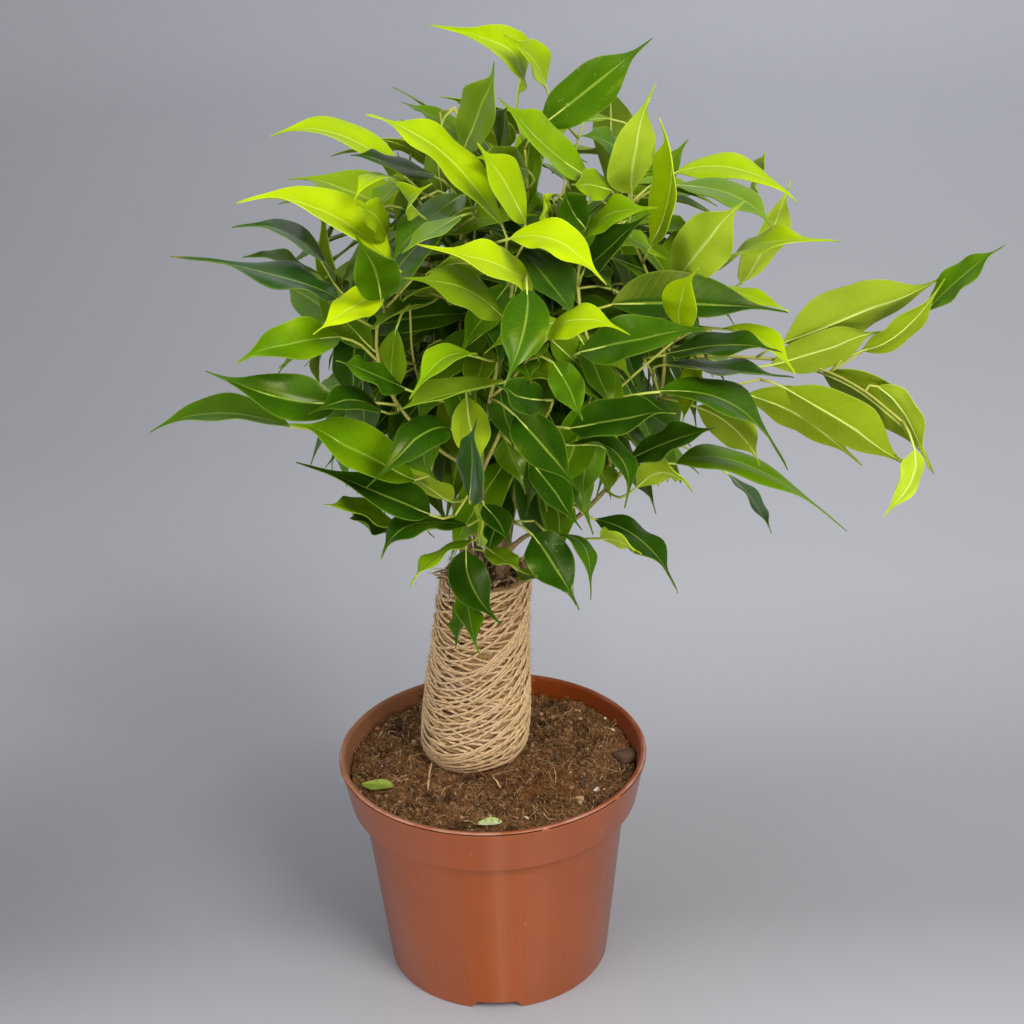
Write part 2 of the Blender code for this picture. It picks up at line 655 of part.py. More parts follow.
def make_pot():
    """The pot's shell: foot ring, tapering body, deep band and rounded lip, notched and drained."""
    outline = [
        (0, 0),
        (CENTRE_PAD_RADIUS, 0),
        (CENTRE_PAD_RADIUS + 0.0015, FOOT_HEIGHT),
        (BASE_RADIUS - FOOT_RING_WIDTH - 0.0015, FOOT_HEIGHT),
        (BASE_RADIUS - FOOT_RING_WIDTH, 0),
        (BASE_RADIUS - 0.0008, 0),
        (BASE_RADIUS + 0.0002, 0.0010),
        (BODY_TOP_RADIUS, SHELF_LEVEL - 0.0008),
        (BAND_FOOT_RADIUS - 0.0006, SHELF_LEVEL - 0.0004),
        (BAND_FOOT_RADIUS, SHELF_LEVEL + 0.0004),
        (RIM_RADIUS - 0.0010, POT_HEIGHT - 0.0036),
        (RIM_RADIUS, POT_HEIGHT - 0.0022),
        (RIM_RADIUS - 0.0004, POT_HEIGHT - 0.0006),
        (RIM_RADIUS - 0.0014, POT_HEIGHT),
        (INNER_RIM_RADIUS, POT_HEIGHT - 0.0012),
        (INNER_BAND_RADIUS, SHELF_LEVEL + POT_WALL),
        (INNER_BODY_RADIUS, SHELF_LEVEL - 0.0006),
        (INNER_BASE_RADIUS, FLOOR_LEVEL),
        (0, FLOOR_LEVEL),
    ]
    pot = add_object("pot", finish_mesh("pot", turned(outline, POT_SIDES)),
                     new_material("terracotta plastic", (0.30, 0.08, 0.03), 0.28))
    cutters = []
    for k in range(NOTCH_COUNT):
        angle = math.tau * k / NOTCH_COUNT + NOTCH_START
        shape = bmesh.new()
        bmesh.ops.create_cube(shape, size=1)
        for corner in shape.verts:
            top = corner.co.z > 0
            width = NOTCH_WIDTH_TOP if top else NOTCH_WIDTH_FOOT
            corner.co.x = BASE_RADIUS + (NOTCH_REACH_OUT if corner.co.x > 0 else -NOTCH_REACH_IN)
            corner.co.y = math.copysign(width / 2, corner.co.y)
            corner.co.z = NOTCH_HEIGHT if top else -NOTCH_OVERLAP
        bmesh.ops.transform(shape, matrix=Matrix.Rotation(angle, 4, "Z"), verts=shape.verts)
        cutters.append(finish_mesh("notch", shape))
    for k in range(DRAIN_COUNT):
        angle = math.tau * (k + 0.5) / DRAIN_COUNT
        centre = Vector((DRAIN_CIRCLE * math.cos(angle), DRAIN_CIRCLE * math.sin(angle), 0))
        low = centre + Vector((0, 0, FOOT_HEIGHT - DRAIN_OVERLAP))
        high = centre + Vector((0, 0, FLOOR_LEVEL + DRAIN_OVERLAP))
        cutters.append(rod("drain", low, high, DRAIN_RADIUS, DRAIN_SIDES))
    cut(pot, cutters, "pot_cutter")


def soil_height(x, y):
    """The soil's surface: uneven, and level where the winding stands on it."""
    away = math.hypot(x - WRAP_FOOT.x, y - WRAP_FOOT.y) - WRAP_FOOT_RADIUS - LEVEL_REACH
    share = max(0.0, min(1.0, away / LEVEL_MARGIN))
    lumps = noise.fractal(Vector((x, y, SOIL_LUMP_PLACE)) * SOIL_LUMP_SCALE, 0.6, 2.0, 3)
    return SOIL_LEVEL + share * SOIL_LUMP * lumps


def ground_point(pixel, height):
    """The point on a pixel's line of sight at a given height."""
    ray = turn_toward(*pixel)
    return VIEW_POINT + ray * ((height - VIEW_POINT.z) / ray.z)


def stem_holes(name, low, high):
    return [rod(name, stem_line(s, low), stem_line(s, high), STEM_HOLE_RADIUS, STEM_SIDES)
            for s in range(STEM_COUNT)]


def make_soil():
    """The soil: it fills the pot to its level, and holds a plain hole for each stem."""
    rise = (SOIL_LEVEL - SHELF_LEVEL - POT_WALL) / (POT_HEIGHT - SHELF_LEVEL - POT_WALL)
    top_radius = INNER_BAND_RADIUS + (INNER_RIM_RADIUS - INNER_BAND_RADIUS) * rise - FIT_GAP * 2
    outline = [
        (0, FLOOR_LEVEL + FIT_GAP),
        (INNER_BASE_RADIUS - FIT_GAP * 2, FLOOR_LEVEL + FIT_GAP),
        (INNER_BODY_RADIUS - FIT_GAP * 2, SHELF_LEVEL - 0.0006 + FIT_GAP),
        (INNER_BAND_RADIUS - FIT_GAP * 2, SHELF_LEVEL + POT_WALL + FIT_GAP),
    ]
    outline += [(top_radius * (1 - k / SOIL_RINGS), SOIL_LEVEL) for k in range(SOIL_RINGS + 1)]
    shape = turned(outline, POT_SIDES)
    for corner in shape.verts:
        if corner.co.z > SOIL_LEVEL - 0.0001:
            corner.co.z = soil_height(corner.co.x, corner.co.y)
    soil = add_object("soil", finish_mesh("soil", shape),
                      new_material("peat and coir", (0.07, 0.035, 0.018), 0.95))
    cut(soil, stem_holes("root_hole", HOLE_FLOOR, SOIL_LEVEL + 0.01), "soil_cutter")
    return soil


def make_fallen_leaves(soil):
    """Thin bits of leaf that lie on the highest grains under them."""
    surface = BVHTree.FromObject(soil, bpy.context.evaluated_depsgraph_get())
    for k, (pixel, length, width, turn) in enumerate(FALLEN_LEAVES):
        centre = ground_point(pixel, SOIL_LEVEL)
        along = Vector((math.cos(turn), math.sin(turn), 0))
        side = Vector((-along.y, along.x, 0))
        shares = (-0.5, -0.25, 0.0, 0.25, 0.5)
        below = [centre + along * (length * a) + side * (width * b) for a in shares for b in shares]
        heights = [surface.ray_cast(p + Vector((0, 0, 0.02)), Vector((0, 0, -1)))[0].z for p in below]
        centre.z = max(heights) + FIT_GAP + FALLEN_THICKNESS / 2
        thick = Vector((0, 0, FALLEN_THICKNESS / 2))
        rings = []
        for a, share in ((-0.5, 0.3), (-0.2, 1.0), (0.2, 0.8)):
            middle = centre + along * (length * a)
            out = side * (width * share / 2)
            rings.append([middle + out, middle + thick, middle - out, middle - thick])
        rings.append([centre + along * (length / 2)])
        add_object(f"fallen_leaf_{k + 1}", mesh_of("fallen_leaf", *skin_faces(rings)),
                   new_material("fallen leaf", (0.30, 0.36, 0.12), 0.6))


def make_wrap():
    """The winding: a thick sleeve whose outside stands out in lozenges, as crossing turns do."""
    rings = []
    for row in range(WRAP_ROWS + 1):
        share = row / WRAP_ROWS
        centre = WRAP_FOOT.lerp(WRAP_TOP, share) + Vector((0, 0, FIT_GAP * (1 - share)))
        ends = WRAP_END_STEP if row in (0, WRAP_ROWS) else 0.0
        ring = []
        for column in range(WRAP_COLUMNS):
            angle = math.tau * column / WRAP_COLUMNS
            relief = WRAP_RELIEF if (row + column) % 2 else -WRAP_RELIEF
            radius = wrap_radius(share) + relief - ends
            ring.append(centre + Vector((math.cos(angle), math.sin(angle), 0)) * radius)
        rings.append(ring)
    for point in (WRAP_TOP, WRAP_FOOT + Vector((0, 0, FIT_GAP))):
        rings.append([
            point + Vector((math.cos(a), math.sin(a), 0)) * WRAP_INNER_RADIUS
            for a in (math.tau * n / WRAP_COLUMNS for n in range(WRAP_COLUMNS))
        ])
    shape = bmesh.new()
    loops = [[shape.verts.new(point) for point in ring] for ring in rings]
    for loop, following in zip(loops, loops[1:] + loops[:1]):
        for k in range(WRAP_COLUMNS):
            other = (k + 1) % WRAP_COLUMNS
            shape.faces.new((loop[k], loop[other], following[other], following[k]))
    add_object("twine_wrap", finish_mesh("twine_wrap", shape),
               new_material("jute twine", (0.48, 0.33, 0.19), 0.9))


def make_packing():
    """The fibrous filling between the stems inside the winding."""
    low = WRAP_FOOT + Vector((0, 0, FIT_GAP))
    high = WRAP_TOP - Vector((0, 0, PACKING_DROP))
    shape = mesh_of("stem_packing", *skin_faces(upright_rings(low, high)))
    packing = add_object("stem_packing", shape, new_material("coir packing", (0.13, 0.07, 0.035), 0.95))
    cut(packing, stem_holes("stem_hole", WRAP_FOOT.z - 0.01, WRAP_TOP.z + 0.01), "packing_cutter")


def upright_rings(low, high):
    """Two level rings that just clear the winding's inside."""
    radius = WRAP_INNER_RADIUS - FIT_GAP * 2
    return [
        [point + Vector((math.cos(a), math.sin(a), 0)) * radius
         for a in (math.tau * n / WRAP_COLUMNS for n in range(WRAP_COLUMNS))]
        for point in (low, high)
    ]


def joined(name, meshes, material):
    """One body from many that run into each other."""
    part = add_object(name, meshes[0], material)
    group = bpy.data.collections.new(name)
    bpy.context.scene.collection.children.link(group)
    for mesh in meshes[1:]:
        piece = bpy.data.objects.new(name + "_piece", mesh)
        group.objects.link(piece)
    boolean = part.modifiers.new("join", "BOOLEAN")
    boolean.operation = "UNION"
    boolean.operand_type = "COLLECTION"
    boolean.collection = group
    boolean.solver = "MANIFOLD"
    evaluated = part.evaluated_get(bpy.context.evaluated_depsgraph_get())
    whole = bpy.data.meshes.new_from_object(evaluated)
    part.modifiers.clear()
    part.data = whole
    merge_flat_faces(whole)
    for piece in list(group.objects):
        bpy.data.objects.remove(piece)
    bpy.data.collections.remove(group)


def drop_scraps(shape):
    """Keeps the largest connected body, without the slivers that joining can leave inside it."""
    left = set(shape.verts)
    bodies = []
    while left:
        waiting = [left.pop()]
        body = set(waiting)
        while waiting:
            for edge in waiting.pop().link_edges:
                for corner in edge.verts:
                    if corner in left:
                        left.remove(corner)
                        body.add(corner)
                        waiting.append(corner)
        bodies.append(body)
    largest = max(bodies, key=len)
    scraps = [corner for body in bodies if body is not largest for corner in body]
    bmesh.ops.delete(shape, geom=scraps, context="VERTS")


def merge_flat_faces(mesh):
    """Fewer triangles on flat stretches, kept only where the skin stays closed."""
    shape = bmesh.new()
    shape.from_mesh(mesh)
    drop_scraps(shape)
    shape.to_mesh(mesh)
    bmesh.ops.dissolve_limit(shape, angle_limit=FLAT_ANGLE, verts=shape.verts, edges=shape.edges)
    bmesh.ops.triangulate(shape, faces=shape.faces)
    if all(edge.is_manifold for edge in shape.edges):
        shape.to_mesh(mesh)
    shape.free()


def make_leafy_stems(plant):
    """Seven cuttings: each stem with its twigs, petioles and leaves, grown as one piece."""
    leaf_green = new_material("fig leaf and bark", (0.12, 0.30, 0.03), 0.35)
    for stem in range(STEM_COUNT):
        meshes = []
        twigs, side_leaves = grow(plant.leaves, stem)
        for twig in twigs:
            meshes.append(mesh_of("twig", *skin_faces(twig_rings(*twig))))
        for leaf in side_leaves:
            meshes.append(mesh_of("leaf", *skin_faces(leaf.skin())))
        joined(f"leafy_stem_{stem + 1}", meshes, leaf_green)


def main():
    for old in list(bpy.data.objects):
        bpy.data.objects.remove(old)
    make_pot()
    soil = make_soil()
    make_wrap()
    make_packing()
    make_leafy_stems(Plant())
    make_fallen_leaves(soil)


main()
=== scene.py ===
"""The looks of a small weeping fig, bound in jute twine and planted in a plastic nursery pot.

Metres, +Z up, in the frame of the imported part: the origin is at the middle of the pot's base.
"""
import json
import math
import random
from functools import lru_cache

import bmesh
import bpy
from bpy.props import FloatProperty, FloatVectorProperty, IntProperty, PointerProperty
from mathutils import Matrix, Vector, noise
from mathutils.bvhtree import BVHTree

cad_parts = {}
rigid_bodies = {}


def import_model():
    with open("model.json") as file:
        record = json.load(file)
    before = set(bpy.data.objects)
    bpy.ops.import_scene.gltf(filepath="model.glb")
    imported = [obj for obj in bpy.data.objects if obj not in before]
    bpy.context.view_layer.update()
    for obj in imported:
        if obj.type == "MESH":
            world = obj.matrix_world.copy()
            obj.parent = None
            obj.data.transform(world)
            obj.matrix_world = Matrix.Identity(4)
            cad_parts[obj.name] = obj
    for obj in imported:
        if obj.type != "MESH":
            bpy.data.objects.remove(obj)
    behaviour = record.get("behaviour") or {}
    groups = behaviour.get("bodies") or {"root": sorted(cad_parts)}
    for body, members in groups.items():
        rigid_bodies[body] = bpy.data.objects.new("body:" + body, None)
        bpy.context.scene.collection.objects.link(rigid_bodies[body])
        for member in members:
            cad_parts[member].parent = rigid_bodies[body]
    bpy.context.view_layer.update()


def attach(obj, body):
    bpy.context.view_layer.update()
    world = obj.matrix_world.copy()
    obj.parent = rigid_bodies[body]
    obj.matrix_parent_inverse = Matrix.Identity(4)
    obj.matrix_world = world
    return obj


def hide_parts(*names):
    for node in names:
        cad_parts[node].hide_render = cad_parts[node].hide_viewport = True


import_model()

bl_info = {
    "name": "Bound weeping fig",
    "version": (1, 0, 0),
    "blender": (4, 5, 0),
    "location": "View3D > Sidebar > Fig",
    "description": "Builds a bound weeping fig with its winding, soil and nursery pot",
    "category": "Add Mesh",
}

SEED = 11

# Nursery pot
POT_HEIGHT = 0.107
RIM_RADIUS = 0.070
BASE_RADIUS = 0.0514
BODY_TOP_RADIUS = 0.0604
BAND_HEIGHT = 0.022
BAND_FOOT_RADIUS = 0.0655
POT_WALL = 0.0018
FOOT_HEIGHT = 0.003
FOOT_RING_WIDTH = 0.0055
CENTRE_PAD_RADIUS = 0.020
FLOOR_LEVEL = 0.0048
LIP_WIDTH = 0.0030
SHELF_LEVEL = POT_HEIGHT - BAND_HEIGHT
INNER_RIM_RADIUS = RIM_RADIUS - LIP_WIDTH
INNER_BAND_RADIUS = BAND_FOOT_RADIUS - POT_WALL
INNER_BODY_RADIUS = BODY_TOP_RADIUS - POT_WALL
INNER_BASE_RADIUS = BASE_RADIUS - POT_WALL
NOTCH_COUNT = 4
NOTCH_WIDTH_FOOT = 0.0254
NOTCH_WIDTH_TOP = 0.0178
NOTCH_HEIGHT = 0.0038
NOTCH_START = math.radians(-92.3)
DRAIN_COUNT = 6
DRAIN_RADIUS = 0.0045
DRAIN_CIRCLE = 0.032

# Soil, with the middle of its reddish patch in front of the winding
SOIL_LEVEL = 0.0985
RED_PATCH = (0.016, -0.018)
SOIL_LUMP = 0.0022

# Winding of twine, which leans a little
WRAP_FOOT = Vector((-0.0085, 0.014, SOIL_LEVEL))
WRAP_TOP = Vector((-0.0010, 0.003, 0.194))
WRAP_FOOT_RADIUS = 0.0250
WRAP_TOP_RADIUS = 0.0212
WRAP_INNER_RADIUS = 0.0165
WRAP_COLUMNS = 20
WRAP_CLEARANCE = 0.001
NECK_SIDE = math.radians(-150)
WRAP_MEAN_RADIUS = 0.0235
PACKING_DROP = 0.004

# Bits of fallen leaf on the soil: the pixel of the middle, length, width and turn
FALLEN_LEAVES = (
    ((378, 789), 0.0145, 0.0080, math.radians(-8)),
    ((490, 825), 0.0105, 0.0046, math.radians(4)),
)

# Stems
STEM_COUNT = 7
STEM_RADIUS = 0.0030
STEM_CIRCLE = 0.0092
ROOT_LEVEL = 0.060
SECTOR_START = math.radians(5)
TWIG_RADIUS = 0.00075
TWIG_GROWTH = 0.42
STEM_BOW = 0.008
SECTOR_MARGIN = 0.0034
DETOUR_COST = 0.35

# Crown of leaves: an egg of this centre and these half axes
CROWN = Vector((0.012, 0.0, 0.315))
CROWN_AXES = Vector((0.122, 0.122, 0.112))
HIDDEN_AXES = Vector((0.100, 0.122, 0.100))
PETIOLE = 0.011
PETIOLE_RADIUS = 0.0005
LEAF_LENGTH = 0.052
LEAF_SLENDERNESS = 0.36
LEAF_THICKNESS = 0.0014
LEAF_FOLD = 0.22
MOST_LEAN = 0.026
TEST_MARGIN = 0.0010

# The reference picture's point of view, for the leaves placed along its lines of sight
VIEW_POINT = Vector((0.0, -0.727, 0.552))
VIEW_PITCH = math.radians(24.27)
VIEW_YAW = math.radians(0.944)
VIEW_ROLL = math.radians(1.69)
VIEW_FOCAL = 1853.9
PICTURE_MIDDLE = 512
PICTURE_SIDE = 1024
SENSOR_WIDTH = 36.0

# Leaves seen in the picture, the nearest first. Each row holds the picture's pixels at the blade's
# foot, middle and tip, its greatest width in pixels, how far behind the crown's surface it lies in
# millimetres, and its tone. A minus width shows the blade's under side.
SEEN_LEAVES = (
    # over the winding and low in front
    ((466, 550), (472, 586), (501, 624), 40, 0, "dark"),
    ((533, 535), (553, 564), (579, 610), 45, 0, "speckled"),
    ((556, 534), (586, 548), (591, 600), 17, 4, "ripe"),
    ((468, 590), (470, 615), (483, 662), 22, 12, "middle"),
    ((460, 596), (459, 622), (455, 648), 15, 16, "ripe"),
    ((487, 548), (504, 558), (521, 570), 20, 8, "olive"),
    ((518, 570), (541, 575), (560, 572), 12, 14, "olive"),
    ((475, 539), (435, 555), (410, 587), 12, 4, "fresh"),
    ((468, 525), (408, 525), (381, 559), 22, 2, "dark"),
    ((484, 505), (499, 521), (510, 543), 25, 6, "dark"),
    ((479, 545), (480, 522), (482, 511), 8, 12, "lime"),
    # front, middle height
    ((527, 289), (524, 330), (504, 387), 48, 0, "ripe"),
    ((515, 415), (544, 447), (579, 492), 45, 0, "dark"),
    ((469, 499), (470, 468), (477, 419), 30, 0, "bluish"),
    ((467, 397), (472, 434), (484, 470), -38, 6, "olive_bright"),
    ((532, 463), (555, 490), (582, 530), 32, 8, "dark"),
    ((450, 428), (418, 436), (366, 488), 38, 2, "dark"),
    ((477, 356), (443, 356), (409, 399), 25, 0, "fresh"),
    ((504, 381), (440, 393), (403, 408), 20, 4, "olive"),
    ((553, 362), (570, 390), (582, 420), 33, 4, "middle"),
    ((570, 428), (622, 417), (676, 413), 38, 0, "dark"),
    ((569, 444), (618, 452), (625, 508), 20, 4, "dark"),
    ((545, 400), (520, 396), (495, 385), 35, 10, "dark"),
    ((595, 519), (644, 541), (678, 593), 25, 4, "dark"),
    ((601, 538), (620, 540), (642, 554), -12, 10, "lime"),
    ((627, 460), (670, 440), (716, 428), 28, 8, "dark"),
    ((637, 487), (665, 470), (693, 492), -20, 12, "yellow"),
    ((676, 463), (748, 463), (847, 531), 22, 2, "bright"),
    ((729, 474), (755, 500), (772, 533), 12, 12, "bluish"),
    # front, high
    ((510, 238), (560, 240), (607, 285), 35, 0, "lime_pure"),
    ((533, 286), (492, 261), (417, 244), 30, 0, "lime_pure"),
    ((504, 318), (461, 286), (403, 278), 35, 5, "olive"),
    ((495, 270), (455, 262), (425, 275), -30, 14, "olive"),
    ((548, 217), (546, 208), (545, 196), 9, 6, "lime"),
    ((547, 338), (576, 319), (630, 335), 32, 0, "lime"),
    ((580, 352), (636, 338), (712, 330), 42, 3, "ripe"),
    ((681, 329), (680, 302), (699, 268), 38, 0, "lime"),
    ((612, 304), (690, 300), (788, 312), 45, 5, "dark"),
    ((676, 281), (708, 240), (745, 201), -55, 8, "pale_under"),
    ((650, 245), (667, 180), (659, 118), 24, 0, "lime"),
    ((631, 192), (633, 150), (656, 83), -42, 2, "lime"),
    ((590, 178), (545, 140), (499, 98), 33, 0, "fresh"),
    ((503, 225), (442, 148), (366, 114), 33, 0, "lime"),
    ((526, 223), (505, 180), (478, 143), 35, 2, "lime"),
    ((528, 170), (506, 162), (472, 158), 28, 16, "olive_bright"),
    ((612, 190), (590, 184), (572, 184), 30, 14, "olive_bright"),
    ((585, 228), (572, 208), (566, 186), 32, 16, "ripe"),
    ((582, 240), (610, 212), (658, 208), 26, 10, "fresh"),
    ((585, 268), (606, 248), (650, 214), 30, 14, "dark"),
    ((676, 172), (738, 167), (798, 203), 24, 6, "lime"),
    ((676, 185), (735, 194), (774, 231), 25, 2, "pale"),
    ((750, 189), (758, 172), (765, 152), 8, 10, "lime"),
    ((729, 261), (765, 240), (839, 241), 20, 6, "lime"),
    ((741, 283), (768, 235), (791, 180), -30, 14, "lime"),
    ((723, 328), (764, 338), (796, 374), 18, 0, "lime"),
    ((713, 286), (750, 295), (789, 311), 14, 8, "lime"),
    ((666, 354), (725, 343), (782, 352), 24, 6, "dark"),
    ((666, 363), (730, 368), (794, 377), 13, 12, "bluish"),
    ((660, 391), (738, 404), (788, 470), 24, 2, "ripe"),
    ((697, 407), (736, 430), (760, 466), -36, 10, "olive"),
    ((692, 354), (690, 390), (681, 427), 19, 8, "lime"),
    # top
    ((519, 93), (512, 48), (430, 25), 32, 0, "lime"),
    ((546, 85), (535, 58), (505, 35), 24, 6, "lime"),
    ((541, 126), (592, 86), (653, 38), 48, 0, "mottled"),
    ((462, 153), (479, 106), (494, 62), 38, 4, "glossy"),
    ((500, 150), (502, 128), (508, 106), 20, 14, "bluish"),
    ((632, 160), (610, 142), (580, 136), 22, 18, "middle"),
    # left, high
    ((404, 175), (338, 130), (270, 136), 22, 0, "lime"),
    ((434, 175), (395, 163), (351, 155), 18, 8, "dark"),
    ((404, 187), (376, 174), (353, 203), 12, 4, "lime"),
    ((392, 262), (322, 206), (236, 203), 30, 0, "lime_pure"),
    ((388, 240), (376, 215), (356, 203), 26, 8, "yellow"),
    ((418, 214), (406, 198), (432, 184), 18, 6, "lime"),
    ((381, 300), (375, 270), (356, 236), 46, 2, "middle"),
    ((383, 292), (352, 306), (313, 334), 32, 0, "lime_pure"),
    ((335, 283), (300, 238), (232, 227), 18, 6, "bluish"),
    ((338, 299), (290, 276), (170, 256), 24, 6, "bluish"),
    ((332, 286), (292, 262), (243, 257), 12, 10, "middle"),
    ((461, 215), (430, 232), (402, 253), 16, 4, "pale"),
    # left, middle and low
    ((341, 337), (292, 342), (234, 365), 40, 0, "bright"),
    ((340, 402), (282, 396), (206, 371), 44, 4, "ripe"),
    ((290, 426), (216, 410), (150, 432), 25, 0, "grey"),
    ((415, 480), (352, 446), (290, 424), 46, 2, "bright"),
    ((381, 410), (350, 398), (308, 414), 26, 0, "dark"),
    ((405, 388), (372, 372), (336, 360), 24, 8, "ripe"),
    ((452, 501), (420, 478), (392, 456), -20, 4, "yellow"),
    ((430, 514), (388, 494), (296, 462), 35, 8, "dark"),
    ((406, 532), (363, 508), (323, 504), 18, 10, "fresh"),
    ((396, 530), (368, 522), (350, 518), 18, 16, "dark"),
    # right spray
    ((784, 342), (862, 308), (947, 274), -48, 0, "olive"),
    ((771, 365), (831, 347), (886, 331), -38, 0, "olive"),
    ((862, 350), (903, 328), (945, 278), -24, 0, "olive_bright"),
    ((927, 310), (961, 276), (1005, 245), 25, 4, "middle"),
    ((823, 373), (882, 405), (934, 474), -40, 0, "olive_bright"),
    ((786, 388), (850, 424), (917, 470), -46, 5, "olive_bright"),
    ((748, 394), (805, 416), (862, 465), -40, 9, "olive_bright"),
    ((878, 386), (907, 414), (930, 470), -24, 8, "lime"),
    ((914, 449), (909, 482), (883, 517), -22, 6, "lime"),
)
RIGHT_SPRAY_LEAVES = 9

# Tones of leaves: how young the green is, from 0 to 1, its cast, from blue at -1 to olive at 1, and
# how much it is speckled
TONES = {
    "bluish": (0.10, -1.0, 0.0),
    "dark": (0.15, 0.0, 0.0),
    "speckled": (0.16, 0.0, 1.0),
    "ripe": (0.27, 0.0, 0.2),
    "grey": (0.42, -0.15, 0.0),
    "middle": (0.40, 0.1, 0.2),
    "olive": (0.48, 0.9, 0.0),
    "bright": (0.50, 0.0, 0.0),
    "fresh": (0.64, 0.0, 0.0),
    "olive_bright": (0.70, 0.7, 0.0),
    "pale": (0.66, -0.8, 0.0),
    "yellow": (0.80, 0.5, 0.0),
    "lime": (0.86, 0.0, 0.0),
    "lime_pure": (1.00, 0.0, 0.0),
    "pale_under": (0.88, 0.2, 0.0),
    "glossy": (0.75, -0.9, 0.4),
    "mottled": (0.33, 0.1, 1.0),
}

# Leaves the picture hides: shells of them, each with a count, how far out it lies on the crown as a
# share of its half axes, and the share for the side that faces the view
HIDDEN_SHELLS = ((88, 0.80, 0.60), (24, 0.46, 0.38))
DRAWS = 14
NUDGES = (0, 3, 6, -3, 9, 12, 16, 20, -6, 25, 30, 36, 42)
ROUNDS = 8

# Outline of a blade: half widths along its midrib, as shares of the length and of the full width
BLADE_OUTLINE = (
    (0.00, 0.04), (0.04, 0.24), (0.09, 0.48), (0.16, 0.73), (0.25, 0.91), (0.36, 0.99), (0.46, 1.00),
    (0.56, 0.94), (0.65, 0.76), (0.73, 0.49), (0.80, 0.23), (0.86, 0.10), (0.91, 0.06), (0.96, 0.04),
    (1.00, 0.015),
)


# Settings


class PotSettings(bpy.types.PropertyGroup):
    colour: FloatVectorProperty(
        name="Plastic", description="Colour of the moulded plastic", subtype="COLOR",
        default=(0.302, 0.059, 0.005), min=0, max=1)
    # The pale lip colour paints both the lip's wear and a painted highlight along its rounded edge
    worn_and_highlit: FloatVectorProperty(
        name="Worn lip", description="Colour of the scuffed edge of the lip", subtype="COLOR",
        default=(0.52, 0.30, 0.22), min=0, max=1)
    steps: IntProperty(
        name="Steps", description="Steps round the pot", default=144, min=24, max=256)


class SoilSettings(bpy.types.PropertyGroup):
    dark: FloatVectorProperty(
        name="Damp peat", description="Colour of the damp hollows", subtype="COLOR",
        default=(0.050, 0.021, 0.008), min=0, max=1)
    light: FloatVectorProperty(
        name="Dry peat", description="Colour of the dry crumbs", subtype="COLOR",
        default=(0.48, 0.240, 0.100), min=0, max=1)
    fibre: FloatVectorProperty(
        name="Coir", description="Colour of the pale fibres", subtype="COLOR",
        default=(0.66, 0.44, 0.22), min=0, max=1)
    crumbs: IntProperty(
        name="Crumbs", description="Number of loose crumbs on the soil", default=2200, min=0, max=3000)
    fibres: IntProperty(
        name="Fibres", description="Number of loose fibres on the soil", default=6200, min=0, max=8000)


class TwineSettings(bpy.types.PropertyGroup):
    light: FloatVectorProperty(
        name="Jute", description="Colour of the twine's ridges", subtype="COLOR",
        default=(0.84, 0.575, 0.310), min=0, max=1)
    dark: FloatVectorProperty(
        name="Jute in shade", description="Colour between the twine's plies", subtype="COLOR",
        default=(0.40, 0.25, 0.10), min=0, max=1)
    thickness: FloatProperty(
        name="Twine", description="Radius of the twine", unit="LENGTH", default=0.00062, min=0.0002,
        max=0.001)
    ply: FloatProperty(
        name="Ply", description="Length of one full twist of the two plies", unit="LENGTH",
        default=0.0066, min=0.002, max=0.02)
    fuzz: IntProperty(
        name="Fuzz", description="Number of stray hairs on the twine", default=2600, min=0, max=4000)


class LeafSettings(bpy.types.PropertyGroup):
    thickness: FloatProperty(
        name="Thickness", description="Thickness of a blade", unit="LENGTH", default=0.00035,
        min=0.0001, max=0.002)
    wave: FloatProperty(
        name="Wave", description="Height of the waves along a blade's edge", unit="LENGTH",
        default=0.0012, min=0, max=0.004)
    fillers: IntProperty(
        name="Inner leaves", description="Number of leaves tried inside the crown", default=300,
        min=0, max=400)


class BarkSettings(bpy.types.PropertyGroup):
    colour: FloatVectorProperty(
        name="Bark", description="Colour of the woody stems", subtype="COLOR",
        default=(0.30, 0.185, 0.080), min=0, max=1)
    green: FloatVectorProperty(
        name="Green twigs", description="Colour of the thin twigs and petioles", subtype="COLOR",
        default=(0.44, 0.45, 0.07), min=0, max=1)
    rib: FloatVectorProperty(
        name="Ribs", description="Colour of the ribs under the blades", subtype="COLOR",
        default=(0.62, 0.74, 0.14), min=0, max=1)
    stem: FloatProperty(
        name="Stems", description="Radius of the thickest stems", unit="LENGTH", default=0.0020,
        min=0.001, max=0.003)
    twig: FloatProperty(
        name="Twigs", description="Radius of the thinnest twigs", unit="LENGTH", default=0.00045,
        min=0.0003, max=0.001)
    growth: FloatProperty(
        name="Growth", description="How fast a twig thickens with the leaves that it carries",
        default=0.23, min=0.1, max=0.6)


class StageSettings(bpy.types.PropertyGroup):
    backdrop: FloatVectorProperty(
        name="Backdrop", description="Colour of the floor and backdrop far behind", subtype="COLOR",
        default=(0.685, 0.682, 0.725), min=0, max=1)
    key: FloatProperty(
        name="Key light", description="Power of the large soft light", subtype="POWER", default=24.0,
        min=0)
    fill: FloatProperty(
        name="Fill light", description="Power of the light on the shaded side", subtype="POWER",
        default=8.0, min=0)
    front: FloatProperty(
        name="Front light", description="Power of the narrow low light in front", subtype="POWER",
        default=4.6, min=0)
    surround: FloatProperty(
        name="Surround", description="Strength of the even light from all sides", default=0.62, min=0)


# Shader maths


